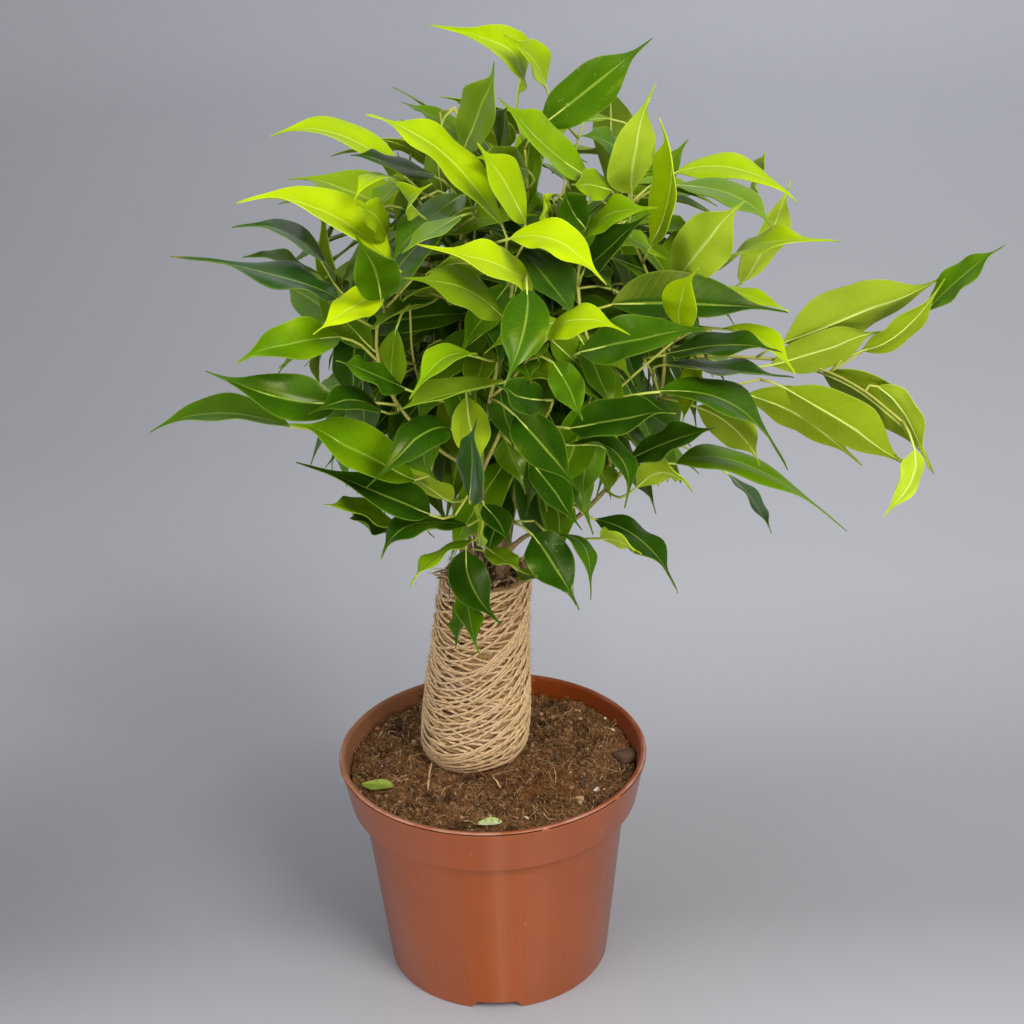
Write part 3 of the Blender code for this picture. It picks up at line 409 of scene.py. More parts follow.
class Value:
    """A socket of a finish, whose Python operators add the matching Math nodes."""

    def __init__(self, finish, socket):
        self.finish = finish
        self.socket = socket

    def math(self, operation, *values, clamp=False):
        settings = {"operation": operation, "use_clamp": clamp}
        return self.finish.add("ShaderNodeMath", settings, dict(enumerate(values)))

    def __add__(self, other):
        return self.math("ADD", self, other)

    __radd__ = __add__

    def __sub__(self, other):
        return self.math("SUBTRACT", self, other)

    def __rsub__(self, other):
        return self.math("SUBTRACT", other, self)

    def __mul__(self, other):
        return self.math("MULTIPLY", self, other)

    __rmul__ = __mul__

    def __truediv__(self, other):
        return self.math("DIVIDE", self, other)

    def __rtruediv__(self, other):
        return self.math("DIVIDE", other, self)

    def __pow__(self, other):
        return self.math("POWER", self, other)

    def __mod__(self, other):
        return self.math("FLOORED_MODULO", self, other)

    def wave(self):
        """The sine of this value, which is in turns, brought to 0 to 1."""
        return self.math("SINE", self * math.tau) * 0.5 + 0.5

    def off(self, middle):
        """How far this value is from a middle."""
        return self.math("ABSOLUTE", self - middle)

    def rise(self, low, high):
        """0 below low, 1 above high and a smooth ramp between."""
        settings = {"interpolation_type": "SMOOTHSTEP"}
        return self.finish.add("ShaderNodeMapRange", settings,
                               {"Value": self, "From Min": low, "From Max": high})


class Finish:
    """A material in the making."""

    def __init__(self, name, **constants):
        self.material = bpy.data.materials.new(name)
        self.material.use_nodes = True
        self.tree = self.material.node_tree
        self.shader = self.tree.nodes["Principled BSDF"]
        for socket, number in constants.items():
            self.shader.inputs[socket.replace("_", " ")].default_value = number

    def add(self, kind, settings, values, output=0):
        """A node of any type, with its settings made first, then the values or links of its sockets."""
        node = self.tree.nodes.new(kind)
        for name, setting in settings.items():
            if name == "stops":
                ramp = node.color_ramp
                while len(ramp.elements) < len(setting):
                    ramp.elements.new(1.0)
                for stop, (place, colour) in zip(ramp.elements, setting):
                    stop.position = place
                    stop.color = (*colour, 1)
            else:
                setattr(node, name, setting)
        for name, given in values.items():
            self.feed(node.inputs[name], given)
        return Value(self, node.outputs[output])

    def feed(self, socket, given):
        if isinstance(given, Value):
            self.tree.links.new(given.socket, socket)
        elif socket.type == "RGBA":
            socket.default_value = (*given, 1)
        else:
            socket.default_value = given

    def mix(self, share, first, second, blend="MIX"):
        settings = {"data_type": "RGBA", "blend_type": blend, "clamp_factor": True}
        return self.add("ShaderNodeMix", settings, {0: share, 6: first, 7: second}, output=2)

    def place(self):
        return self.add("ShaderNodeTexCoord", {}, {}, output="Object")

    def carried(self, name):
        """A number that the piece carries at each point."""
        return self.add("ShaderNodeAttribute", {"attribute_name": name}, {}, output="Fac")

    def along_and_across(self):
        """The two numbers of the piece's own map."""
        spot = self.add("ShaderNodeUVMap", {"uv_map": "surface"}, {})
        return [self.add("ShaderNodeSeparateXYZ", {}, {"Vector": spot}, output=k) for k in (0, 1)]

    def scaled(self, spot, factors):
        return self.add("ShaderNodeVectorMath", {"operation": "MULTIPLY"}, {0: spot, 1: factors})

    def speckle(self, spot, scale, detail=3.0, rough=0.55):
        return self.add("ShaderNodeTexNoise", {},
                        {"Vector": spot, "Scale": scale, "Detail": detail, "Roughness": rough})

    def ramp(self, value, *stops):
        return self.add("ShaderNodeValToRGB", {"stops": stops}, {"Fac": value}, output="Color")

    def relief(self, height, distance, strength=1.0):
        bump = self.add("ShaderNodeBump", {}, {"Height": height, "Distance": distance, "Strength": strength})
        self.feed(self.shader.inputs["Normal"], bump)

    def paint(self, colour=None, roughness=None):
        if colour is not None:
            self.feed(self.shader.inputs["Base Color"], colour)
        if roughness is not None:
            self.feed(self.shader.inputs["Roughness"], roughness)


# Shapes


class Strip:
    """A strip of faces: its count of rows, the place of each corner, and what it carries."""

    def __init__(self, rows, place, numbers=None, finish=0, length=1.0):
        self.rows = rows
        self.place = place
        self.numbers = numbers or {}
        self.finish = finish
        self.length = length


def new_shape():
    shape = bmesh.new()
    shape.loops.layers.uv.new("surface")
    for name in ("tone", "cast", "speckle", "lot"):
        shape.verts.layers.float.new(name)
    return shape


def mark(shape, corners, numbers):
    """Gives corners the numbers that their finish reads."""
    for name, number in numbers.items():
        layer = shape.verts.layers.float[name]
        for corner in corners:
            corner[layer] = number


def add_strips(shape, strips, across):
    """Strips of faces, all cut from one grid. Their map holds the length and the share across."""
    owners = [(strip, k) for strip in strips for k in range(strip.rows)]
    last = len(owners) - 1
    made = bmesh.ops.create_grid(shape, x_segments=last, y_segments=across, size=0.5, calc_uvs=True)
    layers = {name: shape.verts.layers.float[name] for name in ("tone", "cast", "speckle", "lot")}
    spots = {}
    for corner in made["verts"]:
        strip, k = owners[round((corner.co.x + 0.5) * last)]
        share = round((corner.co.y + 0.5) * across) / across
        corner.co = strip.place(k, share)
        spots[corner] = (strip, k * strip.length / (strip.rows - 1), share)
        for name, number in strip.numbers.items():
            corner[layers[name]] = number[k] if isinstance(number, list) else number
    surface = shape.loops.layers.uv.active
    between = []
    for face in {face for corner in made["verts"] for face in corner.link_faces}:
        owner = spots[face.verts[0]][0]
        if any(spots[corner][0] is not owner for corner in face.verts):
            between.append(face)
            continue
        face.material_index = owner.finish
        for loop in face.loops:
            loop[surface].uv = spots[loop.vert][1:]
    bmesh.ops.delete(shape, geom=between, context="FACES")
    return made["verts"]


def close_tubes(shape, corners):
    """Joins the seams of rolled-up strips, closes their ends and turns their faces outwards."""
    bmesh.ops.remove_doubles(shape, verts=corners, dist=0.0000004)
    ends = [edge for edge in shape.edges if edge.is_boundary]
    bmesh.ops.holes_fill(shape, edges=ends, sides=0)
    bmesh.ops.recalc_face_normals(shape, faces=shape.faces)


def tube(route, lobe=0.0, ply=1.0, numbers=None, finish=0, flat=1.0):
    """A strip that rolls up round a route of points, each with its radius as a fourth number."""
    frames = []
    across = Vector((0.31, 0.95, 0.2))
    length = 0.0
    points = [spot.xyz for spot in route]
    for k, point in enumerate(points):
        ahead = (points[min(k + 1, len(points) - 1)] - points[max(k - 1, 0)]).normalized()
        across = (across - ahead * across.dot(ahead)).normalized()
        length += (point - points[max(k - 1, 0)]).length
        frames.append((point, across, ahead.cross(across), length))

    def place(k, share):
        point, side, other, reach = frames[k]
        angle = math.tau * share
        radius = route[k][3] * (1 + lobe * math.cos(2 * angle - 2 * math.tau * reach / ply))
        return point + (side * math.cos(angle) + other * (math.sin(angle) * flat)) * radius

    return Strip(len(route), place, numbers, finish, length)


def smooth_route(spots, spacing):
    """A smooth line of short steps through a few spots, which hold a point and a radius."""
    slopes = []
    for k in range(len(spots)):
        ahead = spots[min(k + 1, len(spots) - 1)]
        behind = spots[max(k - 1, 0)]
        apart = (ahead.xyz - spots[k].xyz).length + (spots[k].xyz - behind.xyz).length
        slopes.append((ahead - behind) / max(apart, 0.000001))
    route = [spots[0]]
    for k in range(len(spots) - 1):
        span = (spots[k + 1].xyz - spots[k].xyz).length
        steps = max(1, round(span / spacing))
        for n in range(1, steps + 1):
            t = n / steps
            route.append(spots[k] * (2 * t ** 3 - 3 * t ** 2 + 1)
                         + slopes[k] * (span * (t ** 3 - 2 * t ** 2 + t))
                         + spots[k + 1] * (3 * t ** 2 - 2 * t ** 3)
                         + slopes[k + 1] * (span * (t ** 3 - t ** 2)))
    return route


def spot(point, radius):
    return Vector((*point, radius))


def new_piece(name, shape, finishes, replaces=(), smooth=True):
    """A piece of the plant made from its shape, riding on the part's one body."""
    for face in shape.faces:
        face.smooth = smooth
    mesh = bpy.data.meshes.new(name)
    shape.to_mesh(mesh)
    shape.free()
    for finish in finishes:
        mesh.materials.append(finish)
    piece = bpy.data.objects.new(name, mesh)
    bpy.context.scene.collection.objects.link(piece)
    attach(piece, "root")
    if replaces:
        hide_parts(*replaces)
    return piece


# Layout of the crown


def sight_line(px, py):
    """The unit direction of the line of sight through a pixel of the reference picture."""
    across = (px - PICTURE_MIDDLE) / VIEW_FOCAL
    above = (PICTURE_MIDDLE - py) / VIEW_FOCAL
    side = across * math.cos(VIEW_ROLL) + above * math.sin(VIEW_ROLL)
    rise = above * math.cos(VIEW_ROLL) - across * math.sin(VIEW_ROLL)
    ahead = math.cos(VIEW_PITCH) + rise * math.sin(VIEW_PITCH)
    height = rise * math.cos(VIEW_PITCH) - math.sin(VIEW_PITCH)
    return Vector((
        side * math.cos(VIEW_YAW) + ahead * math.sin(VIEW_YAW),
        ahead * math.cos(VIEW_YAW) - side * math.sin(VIEW_YAW),
        height,
    )).normalized()


def sight_point(pixel, depth):
    """The point on a pixel's line of sight at a given y."""
    ray = sight_line(*pixel)
    return VIEW_POINT + ray * ((depth - VIEW_POINT.y) / ray.y)


def ground_point(pixel, height):
    """The point on a pixel's line of sight at a given height."""
    ray = sight_line(*pixel)
    return VIEW_POINT + ray * ((height - VIEW_POINT.z) / ray.z)


def crown_front(pixel):
    """The y at which a pixel's line of sight meets the crown, or passes nearest to its middle."""
    ray = sight_line(*pixel)
    scaled_ray = Vector(r / a for r, a in zip(ray, CROWN_AXES))
    scaled_start = Vector(s / a for s, a in zip(VIEW_POINT - CROWN, CROWN_AXES))
    a = scaled_ray.length_squared
    b = scaled_ray.dot(scaled_start)
    c = scaled_start.length_squared - 1
    reach = (-b - math.sqrt(max(0.0, b * b - a * c))) / a
    return (VIEW_POINT + ray * reach).y


def in_sector(point):
    """The stem whose sector of the crown holds a point, and the point moved clear of its sides."""
    width = math.tau / STEM_COUNT
    away = point - WRAP_TOP
    angle = math.atan2(away.y, away.x) - SECTOR_START
    stem = round(angle / width) % STEM_COUNT
    middle = SECTOR_START + stem * width
    off = math.remainder(angle - stem * width, math.tau)
    radius = max(math.hypot(away.x, away.y), SECTOR_MARGIN / math.sin(width / 2) + 0.0001)
    room = width / 2 - math.asin(SECTOR_MARGIN / radius)
    angle = middle + max(-room, min(room, off))
    return stem, WRAP_TOP + Vector((radius * math.cos(angle), radius * math.sin(angle), away.z))


class Leaf:
    """One leaf: its midrib's foot, middle and tip, its width and the way its upper side faces."""

    def __init__(self, foot, middle, tip, width, up, stations):
        self.points = (foot, middle, tip)
        self.width = width
        self.up = up
        self.stations = stations
        self.tone = None
        inward = (CROWN - Vector((0, 0, 0.03)) - foot).normalized()
        back = (foot - middle).normalized() * 0.6 + inward * 0.4
        self.stem, self.root = in_sector(foot + back.normalized() * PETIOLE)

    def midrib(self, t):
        foot, middle, tip = self.points
        return foot * ((1 - t) * (1 - 2 * t)) + middle * (4 * t * (1 - t)) + tip * (t * (2 * t - 1))

    def ring(self, t, share, extra=0.0, thickness=LEAF_THICKNESS):
        """The four corners of a plain blade's section at t, share of its full width there."""
        along = (self.midrib(t + 0.02) - self.midrib(t - 0.02)).normalized()
        up = (self.up - along * self.up.dot(along)).normalized()
        side = along.cross(up)
        half = share * self.width / 2
        thick = up * (thickness / 2 + extra)
        lift = up * (half * LEAF_FOLD)
        out = side * (half + extra)
        middle = self.midrib(t) - lift / 2
        return [middle - out + lift, middle + thick, middle + out + lift, middle - thick]

    def rings(self, extra, thickness=LEAF_THICKNESS):
        """The rings of a plain blade, as room for the fine one."""
        rings = [self.ring(t, share, extra, thickness) for t, share in self.stations]
        rings.append([self.midrib(1.0)])
        return rings

    def skin(self, extra):
        """The rings of the whole leaf, from the petiole's root in the twig to the blade's tip."""
        foot = self.points[0]
        along = (foot - self.root).normalized()
        side = along.cross(self.up).normalized()
        up = side.cross(along)
        half = PETIOLE_RADIUS + extra
        start = self.root - along * PETIOLE_RADIUS
        return [[start - side * half, start + up * half, start + side * half, start - up * half],
                *self.rings(extra)]


SEEN_STATIONS = ((0.0, 0.10), (0.24, 0.84), (0.52, 0.96), (0.84, 0.22))
HIDDEN_STATIONS = ((0.0, 0.10), (0.38, 1.0), (0.80, 0.28))


def seen_leaf(row, nudge, sideways):
    """A leaf on the picture's lines of sight, nudge behind the depth that its row gives."""
    foot_px, middle_px, tip_px, width_px, inset, tone = row
    depth = crown_front(middle_px) + (inset * 0.001 if not sideways else 0.0) + nudge
    middle = sight_point(middle_px, depth)
    scale = (middle - VIEW_POINT).length / VIEW_FOCAL
    apart = (Vector(tip_px) - Vector(foot_px)).length * scale
    lean = math.sqrt(max(0.0, LEAF_LENGTH ** 2 - apart ** 2))
    lean = min(lean, MOST_LEAN) * (0.3 if sideways else 1.0)
    foot = sight_point(foot_px, depth + lean / 2)
    tip = sight_point(tip_px, depth - lean / 2)
    along = (tip - foot).normalized()
    to_view = (VIEW_POINT - middle).normalized()
    facing = (to_view - along * to_view.dot(along)).normalized()
    width = abs(width_px) * scale
    full = max(width, LEAF_SLENDERNESS * (tip - foot).length)
    turn = math.acos(max(0.3, width / full))
    ways = [Matrix.Rotation(angle, 3, along) @ facing for angle in (turn, -turn)]
    if width_px < 0:
        ways = [-way for way in ways]
    leaf = Leaf(foot, middle, tip, full, max(ways, key=lambda way: way.z), SEEN_STATIONS)
    leaf.tone = TONES[tone]
    return leaf


def hidden_leaf(index, shell, draw):
    """A leaf of a hidden shell, spread by the golden angle; each draw loosens its place further."""
    count, reach, front_reach = shell
    rise = 0.95 - 1.88 * (index + 0.5) / count
    turn = index * math.pi * (3 - math.sqrt(5))
    level = math.sqrt(1 - rise * rise)
    out = Vector((level * math.cos(turn), level * math.sin(turn), rise))
    out += Vector([draw.uniform(-0.14, 0.14) for _ in range(3)])
    out.normalize()
    to_view = (VIEW_POINT - CROWN).normalized()
    share = front_reach if out.dot(to_view) > 0.12 else reach
    middle = CROWN + Vector(o * a for o, a in zip(out, HIDDEN_AXES)) * share
    droop = Vector((0, 0, -draw.uniform(0.2, 0.9)))
    stray = Vector([draw.uniform(-0.5, 0.5) for _ in range(3)])
    along = (out * 0.65 + droop + stray).normalized()
    length = draw.uniform(0.050, 0.064)
    up = (Vector((0, 0, 0.5)) + out + stray * 0.5).normalized()
    up = (up - along * up.dot(along)).normalized()
    foot = middle - along * (length * 0.48) - up * (length * 0.06)
    tip = middle + along * (length * 0.48) - up * (length * 0.10)
    return Leaf(foot, middle, tip, length * LEAF_SLENDERNESS, up, HIDDEN_STATIONS)


def inner_leaf(draw):
    """A smaller leaf somewhere inside the crown."""
    out = Vector([draw.gauss(0, 1) for _ in range(3)])
    out.normalize()
    middle = CROWN + Vector(o * a for o, a in zip(out, HIDDEN_AXES)) * draw.uniform(0.25, 0.86)
    stray = Vector([draw.uniform(-0.6, 0.6) for _ in range(3)])
    along = (out * 0.6 + Vector((0, 0, -draw.uniform(0.0, 0.8))) + stray).normalized()
    length = draw.uniform(0.032, 0.056)
    up = (Vector((0, 0, 0.5)) + out + stray * 0.6).normalized()
    up = (up - along * up.dot(along)).normalized()
    foot = middle - along * (length * 0.48) - up * (length * 0.06)
    tip = middle + along * (length * 0.48) - up * (length * draw.uniform(0.05, 0.16))
    return Leaf(foot, middle, tip, length * draw.uniform(0.31, 0.42), up, HIDDEN_STATIONS)


def skin_faces(rings):
    """Points and triangles of the closed skin over rings of corners, split alike on both sides."""
    points = [p for ring in rings for p in ring]
    sides = len(rings[0])
    faces = [(0, k + 1, k) for k in range(1, sides - 1)]
    start = 0
    for ring, following in zip(rings, rings[1:]):
        ahead = start + sides
        for k in range(sides):
            other = (k + 1) % sides
            if len(following) == 1:
                faces.append((start + k, start + other, ahead))
            elif k % 2:
                faces.append((start + k, start + other, ahead + k))
                faces.append((start + other, ahead + other, ahead + k))
            else:
                faces.append((start + k, start + other, ahead + other))
                faces.append((start + k, ahead + other, ahead + k))
        start = ahead
    if len(rings[-1]) > 1:
        faces += [(start, start + k, start + k + 1) for k in range(1, sides - 1)]
    return points, faces


def tree_of(rings):
    return BVHTree.FromPolygons(*skin_faces(rings))


def tube_rings(route, radii, sides, extra):
    """Rings round a route of points, square to it, that turn with it as little as they can."""
    rings = []
    across = Vector((0.3, 1.0, 0.2))
    for k in reversed(range(len(route))):
        point = route[k]
        along = (route[min(k + 1, len(route) - 1)] - route[max(k - 1, 0)]).normalized()
        across = (across - along * across.dot(along)).normalized()
        side = along.cross(across)
        radius = radii[k] + extra
        rings.append([
            point + (across * math.cos(a) + side * math.sin(a)) * radius
            for a in (math.tau * n / sides for n in range(sides))
        ])
    return rings[::-1]


def stem_line(stem, z):
    """Where a stem's straight lower part passes at a height, side by side with the winding."""
    lean = (WRAP_TOP - WRAP_FOOT) / (WRAP_TOP.z - WRAP_FOOT.z)
    angle = SECTOR_START + stem * math.tau / STEM_COUNT
    place = WRAP_FOOT + lean * (z - WRAP_FOOT.z)
    return place + Vector((STEM_CIRCLE * math.cos(angle), STEM_CIRCLE * math.sin(angle), 0))


class Growth:
    """The twigs of a stem, from its root to the petioles of its leaves.

    Each petiole joins the nearest twig, with a cost on the way from there to the ground, so that
    the twigs run outwards. The thickness follows from how many leaves a twig carries.
    """

    def __init__(self, leaves, stem, fillers=()):
        self.stem = stem
        self.start = stem_line(stem, WRAP_TOP.z + 0.004)
        self.own = sorted((leaf for leaf in leaves if leaf.stem == stem),
                          key=lambda leaf: (leaf.root - self.start).length)
        self.own += [leaf for leaf in fillers if leaf.stem == stem]
        self.nodes = [self.start]
        ways = [0.0]
        self.parents = [-1]
        for root in (leaf.root for leaf in self.own):
            costs = [(root - n).length + DETOUR_COST * w for n, w in zip(self.nodes, ways)]
            parent = costs.index(min(costs))
            ways.append(ways[parent] + (root - self.nodes[parent]).length)
            self.nodes.append(root)
            self.parents.append(parent)
        load = [1] * len(self.nodes)
        for k in range(len(load) - 1, 0, -1):
            load[self.parents[k]] += load[k]
        self.load = [n if k else n - 1 for k, n in enumerate(load)]
        self.lines = []
        children = [[] for _ in self.nodes]
        for k in range(1, len(self.nodes)):
            children[self.parents[k]].append(k)
        waiting = [[0]]
        while waiting:
            line = waiting.pop()
            while children[line[-1]]:
                ranked = sorted(children[line[-1]], key=lambda k: -self.load[k])
                waiting += [[line[-1], k] for k in ranked[1:]]
                line.append(ranked[0])
            self.lines.append(line)

    def relax(self):
        """Draws kinks out of the twigs: each fork moves towards the middle of its neighbours."""
        for _ in range(4):
            moved = list(self.nodes)
            for line in self.lines:
                for before, here, after in zip(line, line[1:], line[2:]):
                    middle = (self.nodes[before] + self.nodes[after]) / 2
                    moved[here] = self.nodes[here].lerp(middle, 0.45)
            self.nodes = moved

    def twigs(self, thickest, thinnest, growth):
        """Each twig's points and radii."""
        radii = [min(thickest, thinnest * max(1, n) ** growth) for n in self.load]
        twigs = []
        for line in self.lines:
            route = [self.nodes[k] for k in line]
            radius = [radii[k] for k in line]
            radius[0] = min(radius[0], radius[1] * 1.15)
            if line[0] == 0:
                bow = route[0].lerp(route[1], 0.45) + Vector((0, 0, STEM_BOW))
                route = [stem_line(self.stem, ROOT_LEVEL), self.start, bow] + route[1:]
                radius = [thickest, thickest, radius[1]] + radius[1:]
            twigs.append((route, radius))
        return twigs


def wrap_radius(share):
    """The winding's outer radius, from its foot at 0 to its top at 1, a little fuller low down."""
    taper = WRAP_FOOT_RADIUS + (WRAP_TOP_RADIUS - WRAP_FOOT_RADIUS) * share
    return taper + 0.0008 * math.sin(math.pi * share * 2.0)


class Plant:
    """All leaves, placed one by one clear of each other, and then clear of other stems' twigs."""

    def __init__(self):
        self.draw = random.Random(SEED)
        reach = [WRAP_FOOT.lerp(WRAP_TOP, k / 4) for k in range(5)]
        radii = [wrap_radius(k / 4) + WRAP_CLEARANCE for k in range(5)]
        self.winding = tree_of(tube_rings(reach, radii, WRAP_COLUMNS, 0.0))
        self.leaves = []
        self.tests = []
        self.fillers = []
        first_spray = len(SEEN_LEAVES) - RIGHT_SPRAY_LEAVES
        for k, row in enumerate(SEEN_LEAVES):
            ways = [lambda n=n, r=row, s=k >= first_spray: seen_leaf(r, n * 0.001, s) for n in NUDGES]
            self.place(ways)
        for shell in HIDDEN_SHELLS:
            for k in range(shell[0]):
                self.place([lambda i=k, s=shell: hidden_leaf(i, s, self.draw)] * DRAWS)
        self.clear_twigs()

    def is_clear(self, leaf, tree):
        if tree.overlap(self.winding):
            return False
        for other, (other_tree, _) in zip(self.leaves, self.tests):
            near = (other.points[1] - leaf.points[1]).length < 0.09
            if near and tree.overlap(other_tree):
                return False
        return True

    def place(self, ways):
        for n, way in enumerate(ways):
            leaf = way()
            tree = tree_of(leaf.rings(TEST_MARGIN / 2))
            if self.is_clear(leaf, tree):
                self.leaves.append(leaf)
                self.tests.append((tree, ways[n + 1:]))
                return

    def clear_twigs(self):
        """Leaves that meet another stem's twigs or petioles move to their next place, or go."""
        hit = True
        rounds = 0
        while hit:
            rounds += 1
            wood = [[tree_of(tube_rings(route, radii, 4, TEST_MARGIN / 2))
                     for route, radii in self.tested_twigs(s)] for s in range(STEM_COUNT)]
            whole = [tree_of(leaf.skin(TEST_MARGIN / 2)) for leaf in self.leaves]
            hit = []
            for k, leaf in enumerate(self.leaves):
                others = [t for s in range(STEM_COUNT) if s != leaf.stem for t in wood[s]]
                if any(whole[k].overlap(t) for t in others):
                    hit.append(k)
                    continue
                for j in range(k):
                    other = self.leaves[j]
                    apart = (other.points[0] - leaf.points[0]).length
                    if other.stem != leaf.stem and apart < 0.12 and whole[k].overlap(whole[j]):
                        hit.append(k)
                        break
            again = [self.tests[k][1] for k in hit]
            for k in reversed(hit):
                del self.leaves[k]
                del self.tests[k]
            if rounds < ROUNDS:
                for ways in again:
                    self.place(ways)

    def tested_twigs(self, stem):
        """A stem's twigs, with its main one run a little past its last petiole."""
        twigs = []
        for route, radii in Growth(self.leaves, stem).twigs(STEM_RADIUS, TWIG_RADIUS, TWIG_GROWTH):
            if route[0].z < SOIL_LEVEL:
                route = route[:-1] + [route[-1] + (route[-1] - route[-2]).normalized() * 0.0012]
            twigs.append((route, radii))
        return twigs

    def add_fillers(self, count):
        """Inner leaves that close the crown, each clear of all other blades."""
        draw = random.Random(SEED + 1)
        blades = [(leaf, tree_of(leaf.rings(0.0002, 0.0006))) for leaf in self.leaves]
        for _ in range(count):
            for _ in range(DRAWS):
                leaf = inner_leaf(draw)
                tree = tree_of(leaf.rings(0.0002, 0.0006))
                crossed = tree.overlap(self.winding) or any(
                    (other.points[1] - leaf.points[1]).length < 0.09 and tree.overlap(other_tree)
                    for other, other_tree in blades)
                if not crossed:
                    blades.append((leaf, tree))
                    self.fillers.append(leaf)
                    break

    def tone_hidden(self):
        """Tones for the leaves that no row gives: old and dark low down and inside, young on top."""
        draw = random.Random(SEED + 2)
        for leaf in self.leaves + self.fillers:
            if leaf.tone is None:
                away = Vector(d / a for d, a in zip(leaf.points[2] - CROWN, CROWN_AXES))
                age = 0.20 + 0.24 * away.z + 0.16 * away.length + draw.uniform(-0.16, 0.30)
                leaf.tone = (max(0.10, min(0.95, age)), draw.uniform(-0.7, 0.7), 0.0)


plants = {}


def planted(fillers):
    """The layout of the crown, worked out once."""
    if fillers not in plants:
        plant = Plant()
        plant.add_fillers(fillers)
        plant.tone_hidden()
        plants[fillers] = plant
    return plants[fillers]


# Finishes


def plastic_finish(settings):
    finish = Finish("terracotta_plastic", Specular_IOR_Level=0.3, Specular_Tint=(1.0, 0.85, 0.70, 1.0),
                    Anisotropic=1.0, Anisotropic_Rotation=0.25, Coat_Roughness=0.24)
    place = finish.place()
    cloud = finish.speckle(place, 22.0)
    fine = finish.speckle(place, 900.0, 2.0)
    streak = finish.speckle(finish.scaled(place, (260.0, 260.0, 14.0)), 1.0, 4.0)
    x, y, height = [finish.add("ShaderNodeSeparateXYZ", {}, {"Vector": place}, output=k) for k in range(3)]
    lip = height.rise(POT_HEIGHT - 0.0016, POT_HEIGHT - 0.0002)
    slant = (INNER_RIM_RADIUS - INNER_BAND_RADIUS + 0.001) / BAND_HEIGHT
    depth = (x * x + y * y) ** 0.5 - (height - SHELF_LEVEL) * slant
    # The band's inner wall above the soil: painted darker there as painted shade, painted lighter on the left
    # as painted light, and smudged with dirt
    inside = height.rise(SHELF_LEVEL + 0.0025, SHELF_LEVEL + 0.0035) * (
        1.0 - depth.rise(INNER_BAND_RADIUS + 0.0006, INNER_BAND_RADIUS + 0.0012))
    # A thin dark line painted just under the band's foot, as painted shade under its overhang
    painted_shade_line = 1.0 - height.off(SHELF_LEVEL - 0.0004).rise(0.0001, 0.0005)
    # The lip is painted paler in patches: partly scuffs, partly a painted highlight on its rounded edge
    lip_wear_and_highlight = lip * (finish.speckle(finish.scaled(place, (60.0, 60.0, 400.0)), 1.0, 4.0, 0.7).rise(0.40, 0.62)
                   * 0.7 + 0.15)
    dust = finish.speckle(place, 300.0, 1.0).rise(0.79, 0.81)
    smudge = finish.speckle(place, 90.0, 5.0, 0.7).rise(0.52, 0.75)
    base = settings.colour
    darker = [c * 0.90 for c in base]
    colour = finish.mix(cloud.rise(0.25, 0.75), darker, base)
    colour = finish.mix(streak.rise(0.45, 0.8) * 0.08, colour, [min(1.0, c * 1.5 + 0.02) for c in base])
    # Wear and painted highlight: the lip is painted paler
    colour = finish.mix(lip_wear_and_highlight * 0.75, colour, settings.worn_and_highlit)
    colour = finish.mix(dust * 0.4, colour, (0.50, 0.32, 0.22))
    # Painted shade: the inner wall is painted darker and redder, as the shade that falls inside the pot
    colour = finish.mix(inside * 0.65, colour, [base[0] * 0.50, base[1] * 0.40, base[2] * 0.20])
    colour = finish.mix(inside * smudge * 0.5, colour, (0.26, 0.13, 0.07))
    # Painted light: the left part of the inner wall, which faces the light, is painted lighter
    colour = finish.mix(inside * (0.0 - x).rise(0.015, 0.045) * 0.6, colour, (0.30, 0.145, 0.07))
    # Painted shade: the dark line under the band's foot
    colour = finish.mix(painted_shade_line * 0.75, colour, [c * 0.25 for c in base])
    finish.paint(colour, 0.42 + cloud * 0.06 + lip_wear_and_highlight * 0.2 + inside * 0.3)
    finish.feed(finish.shader.inputs["Coat Weight"], 0.80 - inside * 0.80)
    finish.relief(cloud * 0.8 + fine * 0.03, 0.0004, 0.25)
    return finish.material


def soil_finish(settings):
    finish = Finish("peat_and_coir", Specular_IOR_Level=0.06)
    place = finish.place()
    tone = finish.carried("tone")
    white = finish.carried("speckle")
    lumps = finish.speckle(place, 130.0, 5.0, 0.6)
    grain = finish.speckle(place, 1500.0, 4.0, 0.7)
    ginger = finish.speckle(place, 55.0, 3.0).rise(0.45, 0.70)
    x, y = [finish.add("ShaderNodeSeparateXYZ", {}, {"Vector": place}, output=k) for k in (0, 1)]
    red = 1.0 - (((x - RED_PATCH[0]) ** 2 + (y - RED_PATCH[1]) ** 2) ** 0.5).rise(0.008, 0.030)
    hollow = finish.speckle(place, 95.0, 4.0, 0.65).rise(0.50, 0.64)
    share = lumps.rise(0.30, 0.75) * 0.35 + grain.rise(0.3, 0.7) * 0.35 + tone * 0.55 - 0.05
    colour = finish.mix(share, settings.dark, settings.light)
    colour = finish.mix(ginger * 0.22 + red * 0.35, colour, (0.17, 0.058, 0.018))
    colour = finish.mix(hollow * (1.0 - tone) * 0.75, colour, (0.030, 0.013, 0.008))
    colour = finish.mix(finish.carried("cast") * 0.8, colour, (0.085, 0.050, 0.040))
    colour = finish.mix(tone.rise(0.50, 1.0), colour, settings.fibre)
    colour = finish.mix(white, colour, (0.72, 0.66, 0.54))
    finish.paint(colour, 0.92 - share * 0.12)
    finish.relief(lumps * 0.5 + grain, 0.0006, 0.8)
    return finish.material


